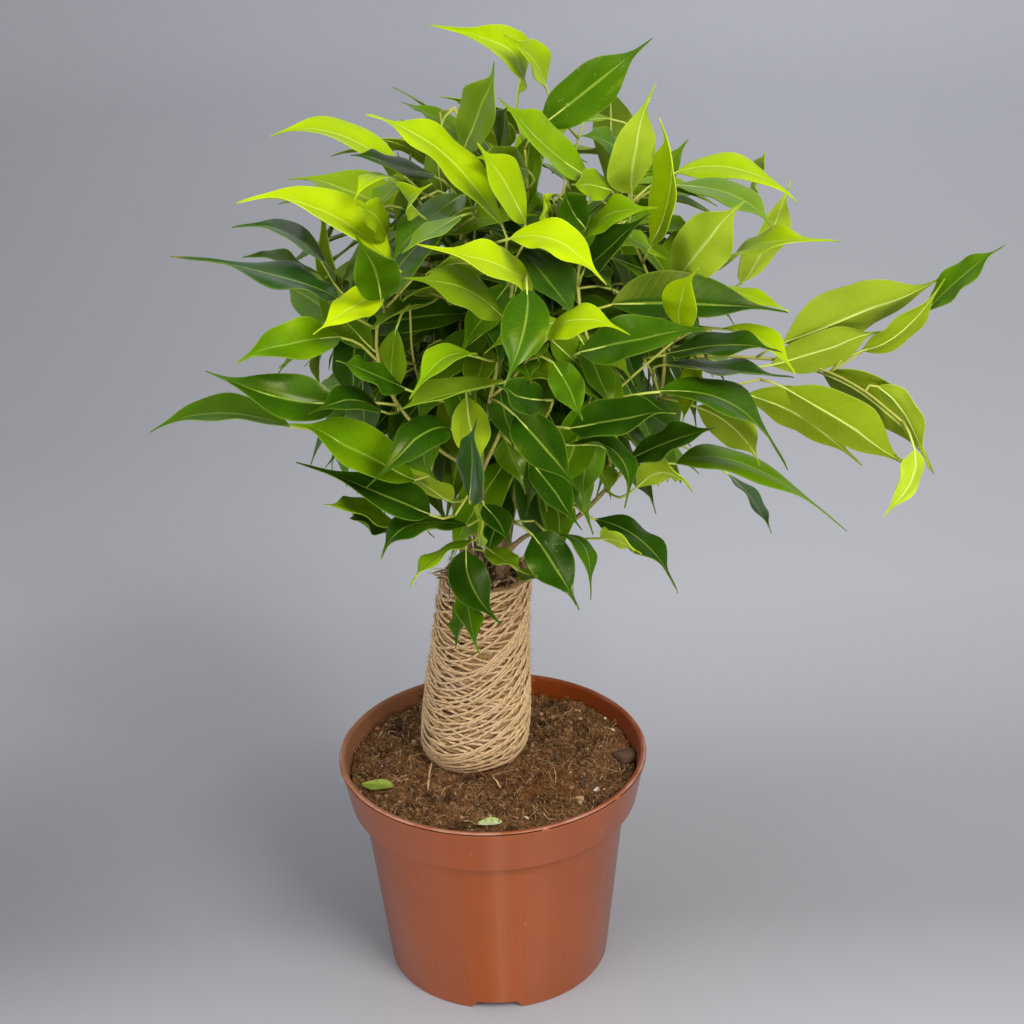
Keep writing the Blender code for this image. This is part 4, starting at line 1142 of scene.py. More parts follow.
def twine_finish(name, settings, shade):
    """Two twisted plies of jute fibre, with painted shade in the grooves between them. The shade paints the
    turns that lie deeper darker, as painted shade.
    """
    finish = Finish(name, Specular_IOR_Level=0.1, Sheen_Weight=0.10, Sheen_Roughness=0.6)
    along, across = finish.along_and_across()
    turned = along / settings.ply + across
    groove = (turned * 2.0).wave()
    strand = (turned * 2.0 + across * 9.0 + finish.speckle(finish.place(), 500.0) * 2.0).wave()
    blotch = finish.speckle(finish.place(), 160.0, 4.0)
    dust = finish.speckle(finish.place(), 40.0, 3.0)
    # Painted shade: the grooves between the plies are painted darker
    share = groove.rise(0.0, 0.8) * 0.40 + strand * 0.30 + blotch * 0.80 - 0.20
    # Painted shade: both colours are darkened by the shade for turns that lie deeper
    light = [c * shade ** power for c, power in zip(settings.light, (1.0, 1.25, 1.7))]
    dark = [c * shade ** power for c, power in zip(settings.dark, (1.0, 1.25, 1.7))]
    colour = finish.mix(share, dark, light)
    colour = finish.mix(dust.rise(0.45, 0.75) * 0.4, colour, [c * shade for c in (0.58, 0.40, 0.28)])
    height = finish.add("ShaderNodeSeparateXYZ", {}, {"Vector": finish.place()}, output=2)
    damp = 1.0 - height.rise(SOIL_LEVEL + 0.001, SOIL_LEVEL + 0.016)
    colour = finish.mix(damp * 0.55, colour, [c * shade for c in (0.42, 0.25, 0.12)])
    finish.paint(colour, 0.85)
    finish.relief(groove * 0.3 + strand * 0.4, 0.00025, 0.8)
    return finish.material


def leaf_finish(name, stops, rib, young_rib, olive, under):
    """A blade's skin. Its map runs from foot to tip and from edge to edge."""
    finish = Finish(name, Specular_IOR_Level=0.20 if not under else 0.08,
                    Specular_Tint=(1.0, 0.95, 0.10, 1.0), Coat_Roughness=0.24)
    place = finish.place()
    along, across = finish.along_and_across()
    tone = finish.carried("tone")
    cast = finish.carried("cast")
    lot = finish.carried("lot")
    spots = finish.carried("speckle")
    off = across.off(0.5) * 2.0
    rib = finish.mix(tone.rise(0.50, 0.90), rib, young_rib)
    cloud = finish.speckle(place, 60.0, 3.0)
    level = tone + (cloud - 0.5) * 0.30 + off * 0.05 - 0.02
    colour = finish.ramp(level, *stops)
    colour = finish.mix(cast.rise(0.0, 1.0) * 0.55, colour, olive)
    colour = finish.mix((0.0 - cast).rise(0.0, 1.0) * 0.45, colour, (0.028, 0.095, 0.020))
    side = (along * 17.0 - off * 2.6 + lot * 3.0) % 1.0
    vein = 1.0 - side.off(0.5).rise(0.0, 0.13)
    fine = (along * 51.0 - off * 7.0 + finish.speckle(place, 260.0) * 0.8).wave()
    colour = finish.mix(vein * (0.012 + tone * 0.05), colour, rib)
    colour = finish.mix(fine * 0.02, colour, rib)
    main = 1.0 - off.rise(0.015, 0.085)
    fade = 1.0 - along.rise(0.70, 1.0) * 0.7
    colour = finish.mix(main * fade * (0.46 if not under else 0.80), colour, rib)
    fleck = finish.speckle(place, 700.0, 2.0).rise(0.66, 0.72) * spots
    colour = finish.mix(fleck * 0.5, colour, (0.30, 0.42, 0.12))
    edge = off.rise(0.93, 1.0) * 0.22
    colour = finish.mix(edge, colour, rib)
    tip = along.rise(0.93, 1.0) * finish.speckle(place, 30.0).rise(0.52, 0.60)
    colour = finish.mix(tip * 0.6, colour, (0.33, 0.20, 0.05))
    shine = 0.22 if not under else 0.42
    finish.paint(colour, shine + cloud * 0.16 + tone * 0.08)
    patches = finish.speckle(place, 26.0, 2.0).rise(0.50, 0.62)
    gloss = (0.0 - cast).rise(0.0, 1.0) * 0.55 + patches * (0.30 - tone.rise(0.30, 0.60) * 0.18)
    finish.feed(finish.shader.inputs["Coat Weight"], gloss * (1.0 if not under else 0.2))
    dent = main * (-1.0 if not under else 0.8) - vein * 0.08 + cloud * 1.4
    finish.relief(dent, 0.0004, 0.5)
    return finish.material


UPPER_STOPS = (
    (0.00, (0.007, 0.033, 0.001)), (0.15, (0.014, 0.056, 0.001)), (0.27, (0.030, 0.096, 0.001)),
    (0.40, (0.060, 0.150, 0.001)), (0.50, (0.096, 0.208, 0.001)), (0.64, (0.175, 0.315, 0.001)),
    (0.86, (0.330, 0.480, 0.001)), (1.00, (0.420, 0.560, 0.001)),
)
UNDER_STOPS = (
    (0.00, (0.045, 0.095, 0.010)), (0.30, (0.120, 0.205, 0.012)), (0.48, (0.250, 0.345, 0.024)),
    (0.70, (0.235, 0.345, 0.004)), (1.00, (0.470, 0.620, 0.040)),
)


def leaf_finishes():
    return [
        leaf_finish("leaf_upper_side", UPPER_STOPS, (0.34, 0.48, 0.05), (0.66, 0.80, 0.10),
                    (0.17, 0.235, 0.006), False),
        leaf_finish("leaf_under_side", UNDER_STOPS, (0.50, 0.60, 0.16), (0.72, 0.84, 0.20),
                    (0.27, 0.36, 0.012), True),
    ]


def bark_finish(settings):
    """Tan bark on the woody stems, which turns green where the twigs are thin."""
    finish = Finish("fig_bark", Specular_IOR_Level=0.3)
    place = finish.place()
    youth = finish.carried("tone")
    cloud = finish.speckle(place, 240.0, 4.0)
    rings = finish.speckle(finish.scaled(place, (300.0, 300.0, 1100.0)), 1.0, 3.0)
    pores = finish.speckle(place, 900.0, 1.0).rise(0.62, 0.70)
    woody = finish.mix(cloud.rise(0.3, 0.7), [c * 0.45 for c in settings.colour], settings.colour)
    woody = finish.mix(rings.rise(0.5, 0.8) * 0.5, woody, [c * 1.5 for c in settings.colour])
    woody = finish.mix(pores * 0.6, woody, (0.50, 0.38, 0.24))
    colour = finish.mix(youth, woody, settings.green)
    colour = finish.mix(youth - 1.0, colour, settings.rib)
    finish.paint(colour, 0.75 - youth.rise(0.0, 1.0) * 0.30)
    finish.relief(cloud + rings * 0.6, 0.0004, 0.7)
    return finish.material


def debris_finish():
    """Dry leaf bits, bark flakes and root hairs, from dark to pale by tone."""
    finish = Finish("dry_bits", Specular_IOR_Level=0.2)
    place = finish.place()
    tone = finish.carried("tone")
    cloud = finish.speckle(place, 400.0, 4.0)
    colour = finish.ramp(tone + (cloud - 0.5) * 0.35, (0.0, (0.035, 0.018, 0.009)),
                         (0.5, (0.20, 0.12, 0.055)), (1.0, (0.52, 0.38, 0.20)))
    finish.paint(colour, 0.88)
    finish.relief(cloud, 0.0004, 0.7)
    return finish.material


def fallen_finish():
    """Torn bits of leaf, from fading green to almost white by tone, with brown blotches."""
    finish = Finish("fallen_leaf", Specular_IOR_Level=0.25)
    place = finish.place()
    tone = finish.carried("tone")
    along, across = finish.along_and_across()
    cloud = finish.speckle(place, 220.0, 4.0)
    colour = finish.ramp(tone + (cloud - 0.5) * 0.25, (0.0, (0.15, 0.20, 0.020)),
                         (0.45, (0.27, 0.36, 0.030)), (1.0, (0.58, 0.60, 0.36)))
    colour = finish.mix(across.rise(0.45, 0.75) * 0.5, colour, (0.30, 0.43, 0.06))
    brown = finish.speckle(place, 420.0, 3.0).rise(0.56, 0.66) + along.off(0.5).rise(0.38, 0.5) * 0.7
    colour = finish.mix(brown * 0.6, colour, (0.24, 0.14, 0.045))
    finish.paint(colour, 0.55 + cloud * 0.2)
    finish.relief(cloud, 0.0004, 0.5)
    return finish.material


# Painted light on the floor: how pale it is at some distances behind the plant, as a share. It is darker
# towards the front, with a painted shadow band at the pot's own depth
PAINTED_FLOOR_LIGHT = (
    (-0.08, 0.62), (0.02, 0.44), (0.12, 0.50), (0.22, 0.61), (0.36, 0.72), (0.80, 0.74), (1.60, 0.88),
    (2.60, 1.06),
)


def stage_finish(settings):
    """Paint with painted light and shade: paler towards the back and the right, darker again at the far
    right, with painted shade on the left and a painted shadow of the pot at its front left.
    """
    finish = Finish("stage_paint")
    place = finish.place()
    side, depth = [finish.add("ShaderNodeSeparateXYZ", {}, {"Vector": place}, output=k) for k in (0, 1)]
    stops = [(0.25 + 0.25 * behind, (grey, grey, grey)) for behind, grey in PAINTED_FLOOR_LIGHT]
    level = finish.ramp(depth * 0.25 + 0.25, *stops)
    colour = finish.mix(level, (0, 0, 0), settings.backdrop)
    aside = side / depth.math("MAXIMUM", depth + 0.95, 0.7)
    # Painted shade on the left side, stronger further back
    shade = (1.0 - aside.rise(-0.36, 0.22)) * (depth.rise(0.25, 0.70) * 0.30 + 0.16)
    # A painted shadow of the pot on the floor at its front left, and painted shade at the far right
    corner = ((side + 0.27) ** 2 + (depth - 0.05) ** 2) ** 0.5
    shade = shade + (1.0 - corner.rise(0.0, 0.17)) * 0.42 + aside.rise(0.10, 0.50) * 0.14
    colour = finish.mix(shade, colour, [c * 0.2 for c in settings.backdrop])
    finish.paint(colour, 0.9)
    return finish.material


# Pieces


def blade_habit(leaf):
    """How one blade folds, curls and waves, always the same for the same leaf."""
    draw = random.Random(round(sum(leaf.points[1]) * 1e6))
    return (draw.uniform(0.16, 0.50), draw.uniform(0.02, 0.26), draw.uniform(0.2, 1.5),
            draw.uniform(1.5, 2.8), draw.random(), draw.uniform(-0.35, 0.35), draw.random(),
            draw.uniform(-0.030, 0.030))


def bent_midrib(leaf, t, sway):
    """The midrib with the slight double bend of its drip tip."""
    along = (leaf.points[2] - leaf.points[0])
    bend = math.sin(math.pi * max(0.0, (t - 0.55) / 0.45))
    return leaf.midrib(t) + along.cross(leaf.up) * (bend * sway)


def blade(leaf, rows, settings):
    """A fine blade: folded on its midrib, arched, waved at the edge, with a long drip tip."""
    fold, curl, wave, waves, phase, twist, lot, sway = blade_habit(leaf)
    wave *= settings.wave

    def place(k, share):
        t = k / (rows - 1)
        v = share * 2 - 1
        along = (leaf.midrib(t + 0.02) - leaf.midrib(t - 0.02)).normalized()
        up = (leaf.up - along * leaf.up.dot(along)).normalized()
        up = Matrix.Rotation(twist * (t - 0.5), 3, along) @ up
        half = leaf.width / 2 * outline_at(t)
        lift = half * (fold * abs(v) ** 1.2 - curl * abs(v) ** 3.4)
        ripple = math.sin(math.tau * (waves * t + phase + (0.27 if v > 0 else 0.0)))
        lift += wave * ripple * v * v * 4 * t * (1 - t)
        middle = bent_midrib(leaf, t, sway) - up * (half * fold * 0.4)
        return middle + up.cross(along) * (half * v) + up * lift

    age, cast, speckle = leaf.tone
    numbers = {"tone": age, "cast": cast, "speckle": speckle, "lot": lot}
    return Strip(rows, place, numbers)


@lru_cache(maxsize=None)
def outline_at(t):
    """The blade's half width at t as a share of its greatest, on a smooth line."""
    knots = [BLADE_OUTLINE[0], *BLADE_OUTLINE, BLADE_OUTLINE[-1]]
    k = max(k for k in range(1, len(knots) - 2) if knots[k][0] <= t)
    before, low, high, after = knots[k - 1:k + 3]
    span = high[0] - low[0]
    slopes = [(high[1] - before[1]) / (high[0] - before[0]) * span,
              (after[1] - low[1]) / (after[0] - low[0]) * span]
    s = (t - low[0]) / span
    return (low[1] * (1 + 2 * s) * (1 - s) ** 2 + slopes[0] * s * (1 - s) ** 2
            + high[1] * s * s * (3 - 2 * s) + slopes[1] * s * s * (s - 1))


def make_leaves(settings):
    plant = planted(settings.fillers)
    finishes = leaf_finishes()
    for stem in range(STEM_COUNT):
        shape = new_shape()
        own = [leaf for leaf in plant.leaves + plant.fillers if leaf.stem == stem]
        near = [leaf for leaf in own if leaf.stations is SEEN_STATIONS]
        far = [leaf for leaf in own if leaf.stations is not SEEN_STATIONS]
        for leaves, rows, across in ((near, 23, 8), (far, 14, 6)):
            if leaves:
                add_strips(shape, [blade(leaf, rows, settings) for leaf in leaves], across)
        for edge in shape.edges:
            edge.smooth = not edge.is_boundary
        piece = new_piece(f"leaves_of_stem_{stem + 1}", shape, finishes,
                          [f"leafy_stem_{stem + 1}"])
        skin = piece.modifiers.new("thickness", "SOLIDIFY")
        skin.thickness = settings.thickness
        skin.offset = -1
        skin.material_offset = 1


def rib(leaf, root):
    """The petiole from the twig, which runs on as the raised rib under the blade."""
    foot = leaf.points[0]
    along = (leaf.midrib(0.05) - foot).normalized()
    bend = foot - along * ((foot - root).length * 0.35)
    spots = [spot(root, 0.00060), spot(root.lerp(bend, 0.7), 0.00052)]
    habit = blade_habit(leaf)
    fold, sway = habit[0], habit[-1]
    for t, radius in ((0.0, 0.00050), (0.25, 0.00034), (0.5, 0.00025), (0.75, 0.00015), (0.92, 0.00006)):
        here = (leaf.midrib(t + 0.02) - leaf.midrib(t - 0.02)).normalized()
        up = (leaf.up - here * leaf.up.dot(here)).normalized()
        depth = leaf.width / 2 * outline_at(t) * fold * 0.4 + 0.00030
        spots.append(spot(bent_midrib(leaf, t, sway) - up * depth, radius))
    route = smooth_route(spots, 0.006)
    green = [0.8 + 1.2 * min(1.0, 3 * k / len(route)) for k in range(len(route))]
    return tube(route, numbers={"tone": green})


def make_twigs(settings):
    plant = planted(bpy.context.scene.fig_leaves.fillers)
    finish = bark_finish(settings)
    for stem in range(STEM_COUNT):
        growth = Growth(plant.leaves, stem, plant.fillers)
        growth.relax()
        thick = []
        thin = []
        for route, radii in growth.twigs(settings.stem, settings.twig, settings.growth):
            stout = max(radii) > 0.0012
            line = smooth_route([spot(*pair) for pair in zip(route, radii)], 0.0025 if stout else 0.005)
            for here in line:
                here[3] = max(0.00035, here[3] * (1 + 0.16 * noise.noise(here.xyz * 170)))
                here.xyz = here.xyz + noise.noise_vector(here.xyz * 45) * 0.0005
            youth = [1 - min(1.0, max(0.0, (here[3] - 0.0005) / 0.0006)) for here in line]
            (thick if stout else thin).append(tube(line, numbers={"tone": youth}))
        shape = new_shape()
        corners = add_strips(shape, thick, 9)
        if thin:
            corners = corners + add_strips(shape, thin, 6)
        ribs = [rib(leaf, growth.nodes[k + 1]) for k, leaf in enumerate(growth.own)]
        close_tubes(shape, corners + add_strips(shape, ribs, 5))
        new_piece(f"twigs_of_stem_{stem + 1}", shape, [finish])


def make_pot(settings):
    """The pot's shell: foot ring, tapering body, deep band and rounded lip, notched and drained."""
    half = LIP_WIDTH / 2
    lip = [(RIM_RADIUS - half + half * math.cos(a), POT_HEIGHT - half + half * math.sin(a))
           for a in (math.pi * k / 8 for k in range(9))]
    outline = [
        (0, 0),
        (CENTRE_PAD_RADIUS, 0),
        (CENTRE_PAD_RADIUS + 0.0015, FOOT_HEIGHT),
        (BASE_RADIUS - FOOT_RING_WIDTH - 0.0015, FOOT_HEIGHT),
        (BASE_RADIUS - FOOT_RING_WIDTH, 0),
        (BASE_RADIUS, 0),
        (BODY_TOP_RADIUS, SHELF_LEVEL - 0.0006),
        (BAND_FOOT_RADIUS, SHELF_LEVEL),
        (RIM_RADIUS - 0.0009, POT_HEIGHT - 0.0036),
        *lip,
        (INNER_RIM_RADIUS - 0.0006, POT_HEIGHT - 0.0036),
        (INNER_BAND_RADIUS, SHELF_LEVEL + POT_WALL),
        (INNER_BODY_RADIUS, SHELF_LEVEL - 0.0006),
        (INNER_BASE_RADIUS, FLOOR_LEVEL),
        (0, FLOOR_LEVEL),
    ]
    shape = turned(outline, settings.steps)
    corners = [edge for edge in shape.edges if edge.calc_face_angle() > math.radians(28)]
    bmesh.ops.bevel(shape, geom=corners, offset=0.0006, offset_type="OFFSET", affect="EDGES", segments=3,
                    profile=0.5, material=-1)
    pot = new_piece("nursery_pot", shape, [plastic_finish(settings)], ["pot"])
    cutters = []
    for k in range(NOTCH_COUNT):
        notch = bmesh.new()
        bmesh.ops.create_cube(notch, size=1)
        for corner in notch.verts:
            top = corner.co.z > 0
            width = NOTCH_WIDTH_TOP if top else NOTCH_WIDTH_FOOT
            corner.co.x = BASE_RADIUS + (0.004 if corner.co.x > 0 else -FOOT_RING_WIDTH - 0.0030)
            corner.co.y = math.copysign(width / 2, corner.co.y)
            corner.co.z = NOTCH_HEIGHT if top else -0.001
        turn = Matrix.Rotation(math.tau * k / NOTCH_COUNT + NOTCH_START, 4, "Z")
        bmesh.ops.transform(notch, matrix=turn, verts=notch.verts)
        cutters.append(notch)
    for k in range(DRAIN_COUNT):
        drain = bmesh.new()
        angle = math.tau * (k + 0.5) / DRAIN_COUNT
        middle = Vector((DRAIN_CIRCLE * math.cos(angle), DRAIN_CIRCLE * math.sin(angle), FLOOR_LEVEL - 0.001))
        bmesh.ops.create_cone(drain, cap_ends=True, segments=28, radius1=DRAIN_RADIUS, radius2=DRAIN_RADIUS,
                              depth=0.008, matrix=Matrix.Translation(middle))
        cutters.append(drain)
    cut(pot, cutters)


def turned(outline, steps):
    """A closed body turned round the Z axis from an outline of (radius, height) points."""
    shape = new_shape()
    corners = [shape.verts.new((radius, 0, height)) for radius, height in outline]
    edges = [shape.edges.new(pair) for pair in zip(corners, corners[1:])]
    bmesh.ops.spin(shape, geom=corners + edges, axis=(0, 0, 1), cent=(0, 0, 0), dvec=(0, 0, 0),
                   angle=math.tau, steps=steps, use_merge=True)
    bmesh.ops.remove_doubles(shape, verts=shape.verts, dist=0.000001)
    bmesh.ops.recalc_face_normals(shape, faces=shape.faces)
    return shape


def cut(piece, cutters):
    """Cuts bodies out of a piece for good, and marks the sharp edges that this leaves."""
    group = bpy.data.collections.new("cutters")
    for shape in cutters:
        mesh = bpy.data.meshes.new("cutter")
        shape.to_mesh(mesh)
        shape.free()
        group.objects.link(bpy.data.objects.new("cutter", mesh))
    boolean = piece.modifiers.new("cut", "BOOLEAN")
    boolean.operation = "DIFFERENCE"
    boolean.operand_type = "COLLECTION"
    boolean.collection = group
    boolean.solver = "EXACT"
    cleared = bpy.data.meshes.new_from_object(piece.evaluated_get(bpy.context.evaluated_depsgraph_get()))
    piece.modifiers.clear()
    piece.data = cleared
    for cutter in list(group.objects):
        bpy.data.objects.remove(cutter)
    bpy.data.collections.remove(group)
    shape = bmesh.new()
    shape.from_mesh(cleared)
    for edge in shape.edges:
        edge.smooth = not edge.is_manifold or edge.calc_face_angle() < math.radians(32)
    for face in shape.faces:
        face.smooth = True
    shape.to_mesh(cleared)
    shape.free()


def soil_height(x, y):
    """The soil's surface: lumpy, and level where the winding stands on it."""
    away = math.hypot(x - WRAP_FOOT.x, y - WRAP_FOOT.y) - WRAP_FOOT_RADIUS
    share = max(0.0, min(1.0, away / 0.005))
    lumps = noise.fractal(Vector((x, y, 0.3)) * 75, 0.6, 2.0, 3)
    clods = noise.noise(Vector((x, y, 0.1)) * 260)
    fine = noise.fractal(Vector((x, y, 0.9)) * 520, 0.5, 2.1, 4)
    rim = max(0.0, math.hypot(x, y) - 0.060) / 0.006
    return SOIL_LEVEL + share * (SOIL_LUMP * lumps + 0.0016 * clods + 0.0007 * fine) + 0.0006 * rim * rim


def make_soil(settings):
    finish = soil_finish(settings)
    top_radius = INNER_BAND_RADIUS + (INNER_RIM_RADIUS - INNER_BAND_RADIUS) * 0.55 - 0.0006
    rings = 76
    outline = [
        (0, FLOOR_LEVEL + 0.0003),
        (INNER_BASE_RADIUS - 0.0006, FLOOR_LEVEL + 0.0003),
        (INNER_BODY_RADIUS - 0.0006, SHELF_LEVEL - 0.0003),
        (INNER_BAND_RADIUS - 0.0006, SHELF_LEVEL + 0.0021),
    ]
    outline += [(top_radius * (1 - k / rings), SOIL_LEVEL) for k in range(rings + 1)]
    shape = turned(outline, 210)
    for corner in shape.verts:
        if corner.co.z > SOIL_LEVEL - 0.0001:
            corner.co.z = soil_height(corner.co.x, corner.co.y)
    new_piece("potting_soil", shape, [finish], ["soil"])
    draw = random.Random(SEED + 3)
    make_crumbs(settings, finish, draw, top_radius)
    make_fibres(settings, finish, draw, top_radius)


def soil_spot(draw, top_radius):
    """A random place on the soil outside the winding."""
    while True:
        radius = top_radius * math.sqrt(draw.random()) * 0.985
        angle = draw.uniform(0, math.tau)
        x, y = radius * math.cos(angle), radius * math.sin(angle)
        if math.hypot(x - WRAP_FOOT.x, y - WRAP_FOOT.y) > WRAP_FOOT_RADIUS - 0.0005:
            return Vector((x, y, soil_height(x, y)))


# Pale grains, and their greatest size in millimetres
GRAINS = (
    ((382, 769), 1.5), ((400, 763), 1.2), ((407, 803), 1.4), ((597, 791), 3.0), ((605, 720), 1.9),
    ((613, 731), 2.2), ((526, 821), 2.2), ((414, 742), 2.6), ((455, 806), 1.0), ((478, 803), 1.0),
    ((563, 729), 0.9), ((532, 752), 1.3), ((528, 757), 1.6),
)

# Clods and flat bits: the pixel, size in millimetres, how far the middle stands up, how pale, how grey
CLODS = (
    ((626, 757), 5.0, 0.0008, 0.12, 1.0), ((580, 800), 2.0, 0.0006, 0.80, 0),
    ((540, 770), 1.8, 0.0008, 0.35, 0), ((558, 758), 2.2, 0.0010, 0.05, 0.9),
    ((414, 744), 1.6, 0.0008, 0.70, 0), ((590, 788), 2.2, 0.0004, 0.05, 0.9),
    ((402, 735), 2.4, 0.0008, 0.08, 0.8), ((360, 755), 2.0, 0.0008, 0.15, 0),
    ((455, 800), 2.0, 0.0006, 0.05, 0.7), ((530, 742), 2.2, 0.0006, 0.04, 1.0),
    ((560, 728), 1.8, 0.0006, 0.04, 1.0), ((583, 782), 1.8, 0.0004, 0.03, 1.0),
    ((440, 800), 1.9, 0.0006, 0.05, 1.0), ((399, 727), 1.7, 0.0006, 0.04, 1.0),
    ((520, 748), 1.7, 0.0006, 0.05, 1.0), ((572, 814), 1.7, 0.0004, 0.05, 0.8),
    ((510, 812), 1.7, 0.0004, 0.06, 0.8), ((384, 768), 1.8, 0.0006, 0.06, 0.8),
)


def lump(shape, place, size, draw, numbers, level=1):
    """One uneven crumb."""
    made = bmesh.ops.create_icosphere(shape, subdivisions=level, radius=size)["verts"]
    stretch = Vector((draw.uniform(0.6, 1.4), draw.uniform(0.6, 1.2), draw.uniform(0.5, 0.9)))
    turn = Matrix.Rotation(draw.uniform(0, math.tau), 3, "Z")
    shift = Vector([draw.uniform(-9, 9) for _ in range(3)])
    for corner in made:
        rough = 1 + 0.55 * noise.noise(corner.co * (0.9 / size) + shift)
        corner.co = place + turn @ (corner.co * stretch * rough)
    mark(shape, made, numbers)


def make_crumbs(settings, finish, draw, top_radius):
    shape = new_shape()
    for _ in range(settings.crumbs):
        place = soil_spot(draw, top_radius)
        size = 0.0004 + 0.0012 * draw.random() ** 3
        place.z += size * 0.25
        lump(shape, place, size, draw, {"tone": draw.random() ** 2 * 0.8})
    for pixel, size in GRAINS:
        place = ground_point(pixel, SOIL_LEVEL)
        place.z = soil_height(place.x, place.y) + size * 0.0003
        lump(shape, place, size * 0.0005, draw, {"tone": 0.9, "speckle": draw.uniform(0.7, 1.0)}, 2)
    for pixel, size, rise, tone, grey in CLODS:
        place = ground_point(pixel, SOIL_LEVEL)
        place.z = soil_height(place.x, place.y) + rise
        lump(shape, place, size * 0.001, draw, {"tone": tone, "cast": grey}, 3 if size < 4 else 4)
    new_piece("soil_crumbs", shape, [finish])


def loose_fibre(draw, start, length, radius, lift):
    """A curling fibre that lies on the soil."""
    angle = draw.uniform(0, math.tau)
    bend = draw.uniform(-1.3, 1.3)
    steps = 4 if length < 0.0045 else 7
    route = []
    point = start.copy()
    for k in range(steps):
        route.append(spot(point, radius * (1.0 if 0 < k < steps - 1 else 0.5)))
        angle += bend / steps + draw.uniform(-0.25, 0.25)
        point = point + Vector((math.cos(angle), math.sin(angle), 0)) * (length / steps)
        if math.hypot(point.x, point.y) > 0.0655:
            point = point * (0.0655 / math.hypot(point.x, point.y))
        arch = lift * math.sin(math.pi * (k + 1) / (steps - 1) * 0.9)
        point.z = soil_height(point.x, point.y) + 0.0004 + arch
    return route


# Longer bits on the soil: the pixels of both ends, the radius and how pale they are
LITTER = (
    ((433, 762), (428, 790), 0.0008, 0.98), ((427, 752), (407, 767), 0.0003, 0.80),
    ((492, 777), (501, 789), 0.0006, 0.97), ((441, 795), (452, 786), 0.0004, 0.75),
    ((541, 813), (551, 824), 0.0003, 0.98), ((543, 809), (549, 818), 0.0003, 0.95),
    ((497, 806), (510, 817), 0.0003, 0.85), ((463, 823), (480, 824), 0.0006, 0.90),
    ((560, 718), (573, 711), 0.0003, 0.85), ((548, 762), (554, 785), 0.0003, 0.92),
    ((618, 763), (621, 772), 0.0003, 0.95), ((598, 727), (612, 729), 0.0005, 0.95),
    ((604, 755), (613, 741), 0.0002, 0.85), ((602, 746), (603, 733), 0.0002, 0.85),
    ((372, 742), (384, 736), 0.0003, 0.85), ((392, 724), (404, 714), 0.0003, 0.80),
    ((371, 760), (380, 752), 0.0003, 0.90), ((396, 782), (409, 777), 0.0003, 0.85),
)


def make_fibres(settings, finish, draw, top_radius):
    strips = []
    for _ in range(settings.fibres):
        start = soil_spot(draw, top_radius)
        route = loose_fibre(draw, start, 0.0015 + 0.008 * draw.random() ** 2,
                            0.00007 + 0.00012 * draw.random() ** 2, 0.0026 * draw.random() ** 2)
        strips.append(tube(route, numbers={"tone": 0.15 + 0.8 * draw.random() ** 1.3}))
    for first, last, radius, tone in LITTER:
        ends = [ground_point(pixel, SOIL_LEVEL) for pixel in (first, last)]
        side = (ends[1] - ends[0]).cross(Vector((0, 0, 1))) * draw.uniform(-0.12, 0.12)
        route = []
        for k in range(7):
            point = ends[0].lerp(ends[1], k / 6) + side * math.sin(math.pi * k / 6)
            point.z = soil_height(point.x, point.y) + radius + 0.0005
            route.append(spot(point, radius * (1.0 if 0 < k < 6 else 0.5)))
        strips.append(tube(route, numbers={"tone": tone}, flat=0.7))
    shape = new_shape()
    close_tubes(shape, add_strips(shape, strips, 3))
    new_piece("soil_fibres", shape, [finish])


def twine_turns(radius_in, pitch, sense, tilts, leans, thickness, step, draw, share_from=0.0, share_to=1.0):
    """One length of twine wound round the bundle in leaning turns, from the soil to the top."""
    height = WRAP_TOP.z - WRAP_FOOT.z
    turns = height * (share_to - share_from) / pitch
    count = round(turns * math.tau * WRAP_MEAN_RADIUS / step)
    start = draw.uniform(0, math.tau)
    drift = draw.uniform(0, 50)
    route = []
    for k in range(count + 1):
        share = share_from + (share_to - share_from) * k / count
        angle = start + sense * turns * math.tau * k / count
        tilt = tilts[0] + (tilts[1] - tilts[0]) * share + 0.16 * noise.noise(Vector((share * 9, drift, 0)))
        lean = leans[0] + (leans[1] - leans[0]) * share + 0.7 * noise.noise(Vector((share * 7, 0, drift)))
        ease = min(1.0, 0.15 + share / 0.22, 0.10 + (1.0 - share) / 0.16)
        rise = tilt * ease * math.cos(angle - lean) * WRAP_MEAN_RADIUS
        here = Vector((math.cos(angle), math.sin(angle), 0))
        rise += 0.0015 * noise.noise(here * 2.6 + Vector((0, 0, share * 40 + drift)))
        level = max(thickness * 0.6, min(height - thickness * 0.5, share * height + rise))
        around = wrap_radius(level / height) - radius_in
        around -= 0.0030 * max(0.0, 1 - level / 0.009) ** 2
        neck = max(0.0, level / height - 0.80) / 0.20
        around -= 0.0034 * neck * neck * max(0.0, math.cos(angle - NECK_SIDE))
        around += 0.00035 * noise.noise(here * 3 + Vector((0, 0, share * 60 + drift)))
        point = WRAP_FOOT.lerp(WRAP_TOP, level / height) + here * around
        route.append(spot(point, thickness * (1 + 0.10 * noise.noise(Vector((k * 0.05, drift, 1))))))
    return route


